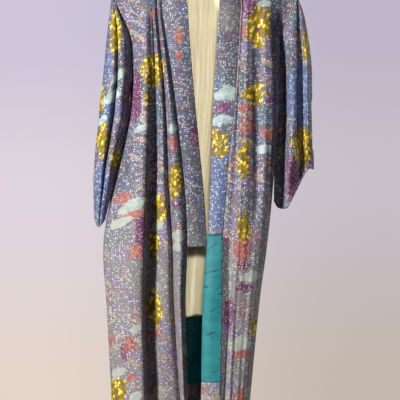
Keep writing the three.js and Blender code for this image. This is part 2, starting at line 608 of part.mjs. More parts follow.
// ---- The robe -----------------------------------------------------------------------
const finish = (color, roughness, metalness = 0) => new THREE.MeshStandardMaterial({ color, roughness, metalness });
const SILK = finish(0x6f7794, 0.55);
const CREAM = finish(0xd9cfa2, 0.6);
const TEAL = finish(0x2f9ba6, 0.55);
const WOOD = finish(0xb98a55, 0.5);
const STEEL = finish(0xb8bcc2, 0.3, 1);

const robe = new THREE.Group();
function add(name, geometry, material) {
  const mesh = new THREE.Mesh(geometry, material);
  mesh.name = name;
  robe.add(mesh);
}
for (const side of ["right", "left"]) {
  add(`front_${side}`, frontPanel(side), SILK);
  add(`back_${side}`, backPanel(side), SILK);
  add(`overlap_${side}`, overlapPanel(side), SILK);
}
add("sleeve_right", sleeveWall(SLEEVE_RIGHT), SILK);
add("sleeve_left", sleeveWall(SLEEVE_LEFT), SILK);
add("collar", collarWall(), SILK);
add("lining_upper", backLining(CREAM_TOP, CREAM_END - SEAM_GAP), CREAM);
add("lining_lower", backLining(CREAM_END, TEAL_END - SEAM_GAP), TEAL);
add("hem_facing", backLining(TEAL_END, HEM - 2), SILK);
add("flap_lining", flapLining(COLLAR_END_LEFT + 4, FLAP_TEAL_END - SEAM_GAP), TEAL);
add("flap_facing", flapLining(FLAP_TEAL_END, HEM - 2), SILK);
add("hanger_arms", hangerArms(), WOOD);
add("hanger_hook", hangerHook(), STEEL);

export default robe;
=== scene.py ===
import bpy
import math
import random
import numpy as np
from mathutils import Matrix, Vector


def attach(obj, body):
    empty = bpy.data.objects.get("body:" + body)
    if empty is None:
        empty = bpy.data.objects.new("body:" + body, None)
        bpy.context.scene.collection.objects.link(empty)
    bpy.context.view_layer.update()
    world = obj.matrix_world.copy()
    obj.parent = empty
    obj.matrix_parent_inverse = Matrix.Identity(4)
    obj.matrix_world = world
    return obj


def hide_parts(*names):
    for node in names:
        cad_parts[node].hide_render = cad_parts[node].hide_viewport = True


# A lined silk kimono robe hanging open on a wooden hanger. Sizes are in millimetres until a
# mesh is made. The surfaces are the ones of the part's source, at a finer step, with small
# folds added. "drop" is the height below the side neck point.

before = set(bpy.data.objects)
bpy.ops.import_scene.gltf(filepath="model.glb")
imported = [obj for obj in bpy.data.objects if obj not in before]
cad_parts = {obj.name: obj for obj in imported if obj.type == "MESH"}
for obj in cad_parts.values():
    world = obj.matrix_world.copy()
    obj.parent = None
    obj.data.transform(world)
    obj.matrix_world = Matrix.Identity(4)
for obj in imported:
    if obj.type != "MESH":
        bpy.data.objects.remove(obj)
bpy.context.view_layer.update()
rng = random.Random(11)

# ---- Sizes shared with the part's source --------------------------------------------
WALL, LINING_WALL, COLLAR_WALL = 1.6, 1.2, 2.6
SEAM_GAP, LINING_GAP = 0.5, 1.0
NECK_DROP, NECK_HALF, NECK_BACK, NECK_DIP = 96, 90, 30, 14
HEM = 1430
SHOULDER_TIP = 258
SHOULDER_SLOPE = math.tan(math.radians(18))
RIDGE_RADIUS, SHOULDER_FALL, TIP_FALL = 9, 150, 52
OVERLAP_TOP, ARMHOLE_END, SIDE_SEAM_TOP = 235, 340, 470
SIDE_GAP, ARMHOLE_GAP, ARMHOLE_SPREAD = 1.2, 2.8, 20
ARMHOLE_LAP = {-1: 3.8, 1: 4.6}
COLLAR_END = {"right": 832, "left": 797}
CREAM_END, TEAL_END, FLAP_TEAL_END = 1041, 1241, 1226
HANGER_HALF, HANGER_THICK, HANGER_HEIGHT, HANGER_GAP, HANGER_DIP = 205, 11, 26, 0.6, 3
HOOK_RADIUS, HOOK_WIRE, HOOK_FOOT = 22, 4, -70.9
COLLAR_CROWN, CUFF_ROUND = 5, 25
SAG_REACH, SAG_DEPTH = 95, 6  # of the cream lining over the teal one
DROPS = [116, 406, 667, 826, 1000, HEM]
YOKE = DROPS[0]
YOKE_V = 100  # v runs from -YOKE_V at the shoulder ridge to 0 at the yoke, then on in millimetres
SLEEVE_TOP = 112

# fold: shoulder x, then x and y at yoke, bust, hip, thigh, knee and hem
FRONT_RIGHT = {
    "side": (-258, [-214, -216, -268, -294, -285, -262], [4, 14, 20, 24, 28, 30]),
    "flare": (-242, [-206, -208, -260, -290, -282, -256], [-12, -4, -8, -14, -10, -8]),
    "slope": (-228, [-198, -199, -248, -276, -270, -244], [-20, -22, -24, -28, -26, -24]),
    "broad": (-214, [-187, -186, -226, -254, -252, -230], [-32, -50, -50, -44, -42, -40]),
    "crest": (-190, [-170, -166, -174, -180, -184, -172], [-41, -60, -64, -64, -62, -58]),
    "drop": (-176, [-160, -152, -160, -166, -172, -160], [-42, -44, -24, -20, -16, -12]),
    "floor": (-164, [-152, -141, -148, -154, -161, -149], [-40, -32, -16, -12, -8, -4]),
    "inner": (-152, [-148, -131, -138, -140, -144, -128], [-38, -34, -22, -19, -15, -9]),
    "plain": (-138, [-144, -122, -116, -106, -104, -78], [-35, -34, -30, -25, -18, -8]),
    "seam": (-124, [-140, -115, -103, -93, -88, -58], [-26, -17, -12, -6, 0, 6]),
    "roll": (-106, [-134, -100, -82, -74, -72, -52], [-36, -51, -54, -52, -48, -40]),
    "edge": (-90, [-127, -84, -56, -49, -54, -42], [-32, -36, -36, -34, -22, -14]),
}
FRONT_LEFT = {
    "side": (258, [222, 212, 192, 173, 150, 108], [4, 22, 26, 28, 30, 34]),
    "turn": (236, [212, 218, 200, 184, 161, 120], [-14, -4, 0, 4, 8, 12]),
    "right": (214, [196, 205, 190, 176, 154, 113], [-30, -36, -36, -30, -28, -24]),
    "crest": (192, [176, 182, 172, 159, 139, 100], [-39, -52, -50, -47, -44, -39]),
    "dip": (174, [155, 156, 153, 141, 122, 86], [-36, -42, -45, -50, -49, -45]),
    "swell": (158, [138, 132, 132, 122, 104, 73], [-41, -58, -58, -55, -52, -48]),
    "front": (142, [124, 113, 109, 101, 87, 62], [-42, -61, -62, -58, -54, -50]),
    "lip": (126, [115, 103, 96, 89, 76, 53], [-34, -49, -51, -49, -45, -41]),
    "under": (118, [120, 112, 107, 101, 89, 68], [-27, -35, -37, -35, -31, -27]),
    "seam": (110, [121, 112, 108, 102, 90, 70], [-19, -22, -23, -21, -17, -13]),
    "strip": (102, [116, 102, 90, 78, 68, 56], [-17, -18, -18, -15, -10, -6]),
    "edge": (90, [110, 92, 66, 54, 46, 38], [-20, -22, -22, -16, -10, -5]),
    "behind": (80, [90, 72, 40, 28, 16, 8], [-18, -18, -18, -14, -10, -5]),
    "bend": (70, [80, 60, 20, 11, -1, -8], [-26, -26, -24, -21, -18, -13]),
    "flap": (80, [90, 72, 40, 30, 20, 12], [-33, -33, -33, -30, -29, -25]),
    "free": (90, [110, 92, 66, 54, 53, 47], [-34, -34, -34, -31, -30, -27]),
}
BACK = {
    "sideright": (-258, [-214, -216, -268, -294, -285, -262], [4, 14, 20, 24, 28, 30]),
    "ridge1": (-216, [-198, -194, -238, -258, -256, -240], [32, 54, 62, 68, 72, 78]),
    "valley1": (-172, [-165, -164, -196, -216, -218, -214], [40, 54, 60, 62, 64, 66]),
    "ridge2": (-128, [-128, -130, -150, -172, -178, -178], [47, 74, 92, 98, 104, 110]),
    "valley2": (-84, [-85, -88, -108, -124, -134, -142], [49, 64, 70, 70, 72, 74]),
    "ridge3": (-42, [-45, -48, -62, -75, -88, -102], [54, 82, 100, 106, 112, 118]),
    "centre": (0, [0, -4, -14, -24, -36, -58], [50, 70, 80, 84, 88, 92]),
    "ridge4": (42, [45, 40, 28, 16, 2, -26], [54, 80, 96, 102, 108, 114]),
    "valley3": (84, [85, 80, 66, 52, 36, 4], [49, 62, 68, 68, 70, 72]),
    "ridge5": (128, [128, 120, 104, 88, 72, 34], [47, 76, 94, 100, 106, 112]),
    "valley4": (172, [165, 156, 138, 120, 102, 60], [40, 54, 60, 60, 62, 64]),
    "ridge6": (216, [198, 186, 170, 150, 130, 88], [32, 54, 62, 64, 66, 72]),
    "sideleft": (258, [222, 212, 192, 173, 150, 108], [4, 22, 26, 28, 30, 34]),
}
# fold: across (0 armhole, 1 outer), y at the sleeve's top, middle and bottom
SLEEVE_RIGHT = {
    "side": -1,
    "outline": ([112, 200, 360, 480, 600, 773], [270, 281, 297, 311, 322, 320]),
    "inner": (
        [106, 200, 340, 406, 450, 530, 600, 667, 730, 773],
        [264, 226, 212, 217.5, 220.2, 236.2, 252.5, 266.8, 283.5, 291],
    ),
    "bottom": ([0, 0.35, 0.7, 1], [752, 770, 773, 752]),
    "cuff": (430, 660),
    "folds": {
        "inner": (0, [4, -12, -12]),
        "slope": (0.1, [-22, -14, -14]),
        "ridge1": (0.24, [-26, -38, -30]),
        "ridge1b": (0.42, [-26, -36, -30]),
        "crease": (0.5, [-14, -8, -10]),
        "ridge2": (0.6, [-24, -38, -28]),
        "ridge2b": (0.86, [-18, -30, -22]),
        "outer": (1, [4, 8, 4]),
        "back1": (0.84, [24, 44, 26]),
        "back2": (0.6, [22, 30, 20]),
        "back3": (0.4, [32, 54, 32]),
        "back4": (0.2, [30, 44, 26]),
        "innerback": (0, [24, 0, 0]),
    },
}
SLEEVE_LEFT = {
    "side": 1,
    "outline": ([112, 150, 203, 290, 406, 551, 722], [276, 290, 301, 313, 316, 320, 322]),
    "inner": ([106, 200, 340, 470, 560, 722], [264, 232, 217, 214, 208, 204]),
    "bottom": ([0, 0.1, 0.32, 0.4, 0.84, 1], [700, 718, 720, 706, 608, 606]),
    "cuff": (390, 590),
    "folds": {
        "inner": (0, [4, 24, 18]),
        "hollow": (0.16, [-20, 28, 22]),
        "wall": (0.26, [-24, 0, 4]),
        "ridge1": (0.36, [-26, -38, -30]),
        "ridge1b": (0.52, [-26, -38, -30]),
        "crease": (0.7, [-14, -16, -14]),
        "ridge2": (0.86, [-20, -32, -26]),
        "outer": (1, [4, 6, 4]),
        "back1": (0.84, [26, 46, 34]),
        "back2": (0.6, [24, 34, 28]),
        "back3": (0.36, [34, 58, 44]),
        "back4": (0.16, [30, 52, 40]),
        "innerback": (0, [24, 40, 32]),
    },
}
# drop, x, y of the collar's free edge
COLLAR_FREE = {
    "right": ([116, 261, 406, 551, 696, 832], [-49, -39, -27, -13, 1, 8], [-46, -34, -26, -22, -20, -18]),
    "left": ([116, 261, 406, 551, 696, 797], [45, 37, 28, 23, 17, 13], [-40, -24, -14, -12, -12, -14]),
}
# seam x, y, drop, then free x, y, drop
COLLAR_SHOULDER = [(96, -18, 28, 50, -40, 30), (87.4, -9, 1.5, 50, -22, -18)]
# angle round the neck, then free x, y, drop
COLLAR_NECK = [(6, 48, 0, -32), (28, 45, 18, -37), (50, 36, 33, -40), (70, 19, 42, -42), (90, 0, 45, -43)]


# ---- Curves ---------------------------------------------------------------------------
def mix(a, b, t):
    return a + (b - a) * t


def smooth(t):
    t = np.clip(t, 0, 1)
    return t * t * (3 - 2 * t)


def through(places, values, at):
    """A smooth curve through (places, values), read at an array of places."""
    p, v = np.asarray(places, float), np.asarray(values, float)
    slope = np.empty_like(v)
    slope[1:-1] = (v[2:] - v[:-2]) / (p[2:] - p[:-2])
    slope[0] = (v[1] - v[0]) / (p[1] - p[0])
    slope[-1] = (v[-1] - v[-2]) / (p[-1] - p[-2])
    at = np.clip(at, p[0], p[-1])
    i = np.clip(np.searchsorted(p, at, side="right") - 1, 0, len(p) - 2)
    w = p[i + 1] - p[i]
    t = (at - p[i]) / w
    ease = 3 * t**2 - 2 * t**3
    bend = slope[i] * w * (t**3 - 2 * t**2 + t) + slope[i + 1] * w * (t**3 - t**2)
    return v[i] * (1 - ease) + v[i + 1] * ease + bend


def across(rows, u):
    """A smooth curve over the fold lines: rows is (folds, points), or one number for each fold."""
    rows = np.asarray(rows, float)
    if rows.ndim == 1:
        rows = np.repeat(rows[:, None], u.size, 1)
    count, at = len(rows), np.arange(u.size)
    i = np.clip(np.floor(u).astype(int), 0, count - 2)
    t = u - i
    a, b, c, d = (rows[np.clip(i + k, 0, count - 1), at] for k in (-1, 0, 1, 2))
    return b + 0.5 * t * (c - a + t * (2 * a - 5 * b + 4 * c - d + t * (3 * (b - c) + d - a)))


class Noise:
    """Smooth random waves of a 2-D place, made of a few sines."""

    def __init__(self, seed, waves):
        r = random.Random(seed)
        self.waves = [
            (fx * r.uniform(0.7, 1.4), fy * r.uniform(0.6, 1.5), r.uniform(0, 6.3), r.uniform(0.6, 1))
            for fx, fy in waves
            for _ in range(3)
        ]

    def __call__(self, a, b):
        total = sum(w * np.sin(fx * a + fy * b + ph) for fx, fy, ph, w in self.waves)
        return total / math.sqrt(len(self.waves))


# ---- Surfaces -------------------------------------------------------------------------
def shoulder_drop(x):
    past = np.maximum(0, np.abs(x) - HANGER_HALF)
    return (np.abs(x) - NECK_HALF) * SHOULDER_SLOPE + TIP_FALL * past**2 / (SHOULDER_TIP - HANGER_HALF) ** 2


def neck_share(x):
    return np.sqrt(np.maximum(0, 1 - (x / NECK_HALF) ** 2))


def col(table, fold):
    return list(table).index(fold)


def body_surface(table, facing):
    shoulder = [row[0] for row in table.values()]

    def surface(u, v):
        sx = across(shoulder, u)
        in_neck = (facing > 0) & (np.abs(sx) < NECK_HALF)
        start = np.where(in_neck, NECK_BACK * neck_share(sx), 0)
        top = np.where(in_neck, NECK_DIP * neck_share(sx), shoulder_drop(sx))
        drop = np.where(v < 0, mix(top, YOKE, 1 + v / YOKE_V), YOKE + v)
        below = np.maximum(0, drop - top)
        fall = smooth(below / SHOULDER_FALL)
        xs = [through(DROPS, row[1], drop) for row in table.values()]
        ys = [through(DROPS, row[2], drop) for row in table.values()]
        if facing > 0:
            spread = SIDE_GAP + ARMHOLE_SPREAD * smooth((SIDE_SEAM_TOP - drop) / (SIDE_SEAM_TOP - YOKE))
            ys[0], ys[-1] = ys[0] + spread, ys[-1] + spread
        x, y = across(xs, u), across(ys, u)
        radius = np.maximum(1e-6, RIDGE_RADIUS * (1 - start / NECK_BACK))
        bow = np.sqrt(np.maximum(0, 1 - (1 - np.clip(below / radius, 0, 1)) ** 2)) * radius
        begin = facing * SEAM_GAP / 2 + start + facing * bow
        return np.stack([mix(sx, x, fall), mix(begin, y, fall), -NECK_DROP - drop], 1)

    return surface


front_of = {"right": body_surface(FRONT_RIGHT, -1), "left": body_surface(FRONT_LEFT, -1)}
back_of = body_surface(BACK, 1)
table_of = {"right": FRONT_RIGHT, "left": FRONT_LEFT}


def normals_of(surface, u, v, limits, du=0.02, dv=1.0):
    lo_u, hi_u, lo_v, hi_v = limits
    a = surface(np.minimum(hi_u, u + du), v) - surface(np.maximum(lo_u, u - du), v)
    b = surface(u, np.minimum(hi_v, v + dv)) - surface(u, np.maximum(lo_v, v - dv))
    n = np.cross(a, b)
    return n / np.maximum(1e-9, np.linalg.norm(n, axis=1, keepdims=True))


# ---- Meshes ---------------------------------------------------------------------------
def make_object(
    name, points, faces, uvs=None, attributes=None, material_index=None, materials=(), smooth_shade=True
):
    """Points are in millimetres, uvs in metres of cloth; uvs and attribute colours are for each point."""
    mesh = bpy.data.meshes.new(name)
    mesh.from_pydata((np.asarray(points) / 1000).tolist(), [], faces)
    mesh.update()
    loops = np.empty(len(mesh.loops), dtype=np.int32)
    mesh.loops.foreach_get("vertex_index", loops)
    if uvs is not None:
        layer = mesh.uv_layers.new(name="cloth")
        layer.data.foreach_set("uv", np.asarray(uvs, dtype=np.float32)[loops].ravel())
    for key, values in (attributes or {}).items():
        made = mesh.attributes.new(key, "FLOAT_COLOR", "POINT")
        rgba = np.ones((len(points), 4), dtype=np.float32)
        rgba[:, :3] = values
        made.data.foreach_set("color", rgba.ravel())
    for m in materials:
        mesh.materials.append(m)
    if material_index is not None:
        mesh.polygons.foreach_set("material_index", np.asarray(material_index, dtype=np.int32))
    mesh.polygons.foreach_set("use_smooth", [smooth_shade] * len(mesh.polygons))
    obj = bpy.data.objects.new(name, mesh)
    bpy.context.scene.collection.objects.link(obj)
    return obj


def shell(name, p, n, thick, uv, colours, materials, keep=None, zips=()):
    """A closed wall over a grid of points p and normals n, both (rows, columns, 3)."""
    rows, cols = p.shape[:2]
    count = rows * cols
    points = np.concatenate([(p + n * thick / 2).reshape(-1, 3), (p - n * thick / 2).reshape(-1, 3)])
    cells = np.ones((rows - 1, cols - 1), bool) if keep is None else keep
    j, i = np.nonzero(cells)
    a = j * cols + i
    ring = np.stack([a, a + 1, a + cols + 1, a + cols], 1)
    outside = ring.tolist() + [list(z) for z in zips]
    faces = list(outside)
    index = [0] * len(outside)
    for f in outside:
        faces.append([k + count for k in reversed(f)])
        index.append(1)
    edges = dict.fromkeys((f[k], f[(k + 1) % len(f)]) for f in outside for k in range(len(f)))
    for s, e in edges:
        if (e, s) not in edges:
            faces.append([e, s, s + count, e + count])
            index.append(0)
    used = np.zeros(2 * count, bool)
    for f in faces:
        used[f] = True
    new = np.cumsum(used) - 1
    faces = [[int(new[k]) for k in f] for f in faces]
    two = lambda values: np.concatenate([values.reshape(count, -1)] * 2)[used]
    return make_object(
        name, points[used], faces, two(uv), {k: two(v) for k, v in colours.items()}, index, materials
    )


def cloth_uv(p):
    """Distances along the cloth, in metres, across and down."""
    step = np.linalg.norm(np.diff(p, axis=1), axis=2)
    along = np.concatenate([np.zeros((p.shape[0], 1)), np.cumsum(step, 1)], 1)
    middle = along[:, -1:] / 2
    down = -(p[:, :, 2] + NECK_DROP)
    return np.stack([along - middle, down], 2) / 1000


# ---- Places of the print's larger motifs ------------------------------------------------
PIXEL = 0.29  # centimetres of cloth to one pixel of the photograph
MIDDLE_COLUMN, ROWS_ABOVE = 204, 40  # of the hanger's middle, and from the side neck point to row 0


def grouped(table):
    """kind, x, drop, half width and half height in centimetres, from the boxes of each kind."""
    rows = []
    for kind, boxes in table.items():
        for left, right, top, bottom in boxes:
            middle = ((left + right) / 2 - MIDDLE_COLUMN, (top + bottom) / 2 + ROWS_ABOVE)
            reach = ((right - left) / 2, (bottom - top) / 2)
            rows.append((kind, *(round(PIXEL * n, 1) for n in middle + reach)))
    return rows


# the box of pixels that each motif fills in the photograph, as read: left, right, top, bottom
MOTIFS = grouped({
    "yellow": [(110, 121, 15, 50), (98, 104, 85, 110), (97, 108, 125, 155), (112, 120, 148, 170),
        (143, 162, 57, 84), (144, 151, 92, 105), (153, 165, 195, 222), (149, 158, 231, 257),
        (148, 161, 290, 325), (109, 126, 381, 402), (170, 183, 168, 199), (249, 269, 6, 44),
        (244, 265, 86, 104), (238, 249, 142, 176), (238, 249, 214, 240), (250, 257, 322, 336),
        (303, 313, 28, 56), (294, 313, 130, 162)],
    "cloud": [(112, 125, 70, 80), (104, 120, 91, 102), (97, 107, 115, 124), (134, 148, 125, 132),
        (119, 146, 200, 211), (110, 132, 218, 227), (152, 163, 221, 231), (130, 142, 325, 333),
        (112, 126, 368, 376), (129, 141, 392, 402), (168, 177, 125, 133), (172, 185, 230, 240),
        (172, 182, 243, 251), (182, 190, 344, 355), (258, 271, 0, 6), (256, 271, 145, 153),
        (240, 261, 272, 281), (229, 251, 337, 350)],
    "blue": [(98, 113, 52, 82), (103, 122, 100, 120), (93, 108, 158, 225), (286, 314, 60, 128)],
    "plum": [(126, 142, 72, 120), (135, 147, 213, 246), (120, 130, 340, 362),
        (170, 182, 200, 207), (243, 259, 0, 22), (264, 277, 96, 106), (236, 250, 258, 272),
        (236, 251, 283, 293), (224, 236, 300, 330), (287, 301, 150, 200)],
    "red": [(150, 157, 8, 20), (116, 134, 192, 205), (124, 146, 208, 218), (130, 143, 244, 259),
        (148, 161, 329, 338), (106, 115, 337, 346), (123, 136, 337, 352), (127, 137, 374, 380),
        (170, 178, 136, 150), (182, 190, 356, 371), (242, 251, 26, 37), (239, 256, 104, 111),
        (239, 254, 118, 136), (261, 276, 127, 139), (234, 251, 238, 262), (232, 250, 350, 358),
        (234, 246, 391, 402)],
})
COLLAR_LEFT_MOTIFS = grouped({
    "grey": [(216, 238, 0, 30)],
    "cloud": [(215, 239, 86, 99), (211, 233, 115, 126)],
    "plum": [(214, 229, 102, 113)],
    "yellow": [(210, 228, 131, 155)],
    "blue": [(209, 231, 158, 235)],
})
COLLAR_RIGHT_MOTIFS = grouped({
    "red": [(174, 184, 27, 44), (176, 182, 50, 60)],
    "plum": [(190, 205, 120, 150)],
})


def motif_colours(p, rows):
    """Two colours for each point: cloud, yellow, red and plum, blue, silver."""
    x, drop = p[:, :, 0] / 10, -(p[:, :, 2] + NECK_DROP) / 10
    fields = {k: np.zeros(x.shape) for k in ("cloud", "yellow", "red", "plum", "blue", "grey")}
    for kind, cx, cd, hw, hh in rows:
        lean = 0.1 if kind != "cloud" or cx > -12 else 0.7 if cx < -23 and cd < 60 else 0.4
        far = ((x - cx) / hw) ** 2 + ((drop - cd + lean * (x - cx)) / hh) ** 2
        fields[kind] = np.maximum(fields[kind], 1 - 0.5 * far)
    fields["grey"] = np.maximum(fields["grey"], 0.85 * smooth((drop - 60) / 40))
    stack = lambda *names: np.stack([np.clip(fields[k], 0, 1) for k in names], 2)
    return {"motif_a": stack("cloud", "yellow", "red"), "motif_b": stack("plum", "blue", "grey")}


def scattered(seed, left, right, top, bottom, count):
    """Motifs for the sides that the front view doesn't show."""
    r = random.Random(seed)
    kinds = ["cloud", "yellow", "red", "plum", "yellow", "cloud", "blue", "red"]
    rows = []
    for k in range(count):
        kind = kinds[k % len(kinds)]
        wide = {"cloud": 3.4, "yellow": 2.2, "red": 2.6, "plum": 2.4, "blue": 3.4}[kind]
        tall = {"cloud": 1.5, "yellow": 3.6, "red": 2.0, "plum": 4.0, "blue": 6.0}[kind]
        place = (r.uniform(left, right), r.uniform(top, bottom))
        rows.append((kind, *place, wide * r.uniform(0.7, 1.3), tall * r.uniform(0.7, 1.3)))
    return rows


# ---- Materials --------------------------------------------------------------------------
class Graph:
    """A material's nodes, joined by short calls. An input is a number, a colour or a socket."""

    def __init__(self, name):
        self.material = bpy.data.materials.new(name)
        self.material.use_nodes = True
        self.tree = self.material.node_tree
        self.tree.nodes.clear()
        self.out = self.tree.nodes.new("ShaderNodeOutputMaterial")

    def put(self, socket, value):
        if isinstance(value, bpy.types.NodeSocket):
            self.tree.links.new(value, socket)
        elif isinstance(value, tuple) and len(value) == 3 and socket.type == "RGBA":
            socket.default_value = (*value, 1)
        else:
            socket.default_value = value

    def node(self, kind, inputs=None, **settings):
        made = self.tree.nodes.new("ShaderNode" + kind)
        for key, value in settings.items():
            setattr(made, key, value)
        for key, value in (inputs or {}).items():
            self.put(made.inputs[key], value)
        return made

    def math(self, operation, a, b=0.0, clamp=False):
        return self.node("Math", {0: a, 1: b}, operation=operation, use_clamp=clamp).outputs[0]

    def times(self, a, b):
        return self.math("MULTIPLY", a, b)

    def plus(self, a, b):
        return self.math("ADD", a, b)

    def minus(self, a, b):
        return self.math("SUBTRACT", a, b)

    def mix(self, share, a, b):
        return self.node("Mix", {0: share, 6: a, 7: b}, data_type="RGBA").outputs[2]

    def step(self, value, low, high, at_low=0.0, at_high=1.0):
        keys = {"Value": value, "From Min": low, "From Max": high, "To Min": at_low, "To Max": at_high}
        return self.node("MapRange", keys, interpolation_type="SMOOTHSTEP").outputs[0]

    def uv(self):
        return self.node("UVMap", uv_map="cloth").outputs[0]

    def stretch(self, vector, x, y, z=1.0):
        return self.node("Mapping", {"Vector": vector, "Scale": (x, y, z)}).outputs[0]

    def slanted(self, vector, angle, x, y):
        turned = self.node("Mapping", {"Vector": vector, "Rotation": (0, 0, angle)}).outputs[0]
        return self.stretch(turned, x, y)

    def noise(self, vector, scale, detail=2.0, rough=0.5):
        keys = {"Vector": vector, "Scale": scale, "Detail": detail, "Roughness": rough}
        return self.node("TexNoise", keys).outputs[0]

    def cells(self, vector, scale, randomness=0.9):
        made = self.node("TexVoronoi", {"Vector": vector, "Scale": scale, "Randomness": randomness})
        colour = self.node("SeparateColor", {0: made.outputs["Color"]})
        return made.outputs["Distance"], colour.outputs

    def split(self, attribute):
        read = self.node("Attribute", attribute_name=attribute)
        return self.node("SeparateColor", {0: read.outputs["Color"]}).outputs

    def bump(self, height, strength, distance, normal=None):
        keys = {"Height": height, "Strength": strength, "Distance": distance}
        if normal is not None:
            keys["Normal"] = normal
        return self.node("Bump", keys).outputs[0]

    def finish(self, colour, roughness=0.55, normal=None, **constants):
        shader = self.node("BsdfPrincipled", {"Base Color": colour, "Roughness": roughness})
        for key, value in constants.items():
            shader.inputs[key.replace("_", " ")].default_value = value
        if normal is not None:
            self.put(shader.inputs["Normal"], normal)
        self.tree.links.new(shader.outputs[0], self.out.inputs[0])
        return self.material


SLATE, MAUVE, BLUE = (0.085, 0.108, 0.145), (0.115, 0.085, 0.115), (0.075, 0.12, 0.27)
PLUM, SILVER, SAGE = (0.13, 0.04, 0.125), (0.24, 0.225, 0.21), (0.14, 0.165, 0.15)
LILAC, DUSK, SAND = (0.18, 0.13, 0.24), (0.06, 0.115, 0.14), (0.27, 0.27, 0.23)
ROSE, CRIMSON, VERMILION = (0.25, 0.10, 0.115), (0.27, 0.07, 0.08), (0.42, 0.14, 0.07)
CLOUD, CLOUD_DIM, CLOUD_LOW = (0.42, 0.52, 0.50), (0.27, 0.35, 0.37), (0.43, 0.42, 0.34)
DOT, DOT_PINK, DOT_GOLD = (0.58, 0.60, 0.60), (0.56, 0.33, 0.38), (0.60, 0.44, 0.16)
# The lit petal colour is a painted highlight for a petal's middle, and the dark petal colour is painted shade
# for its rim.
PETAL, PETAL_LIT = (0.74, 0.52, 0.025), (0.96, 0.82, 0.26)
PETAL_RIM_SHADE, LEAF = (0.16, 0.105, 0.012), (0.20, 0.175, 0.03)


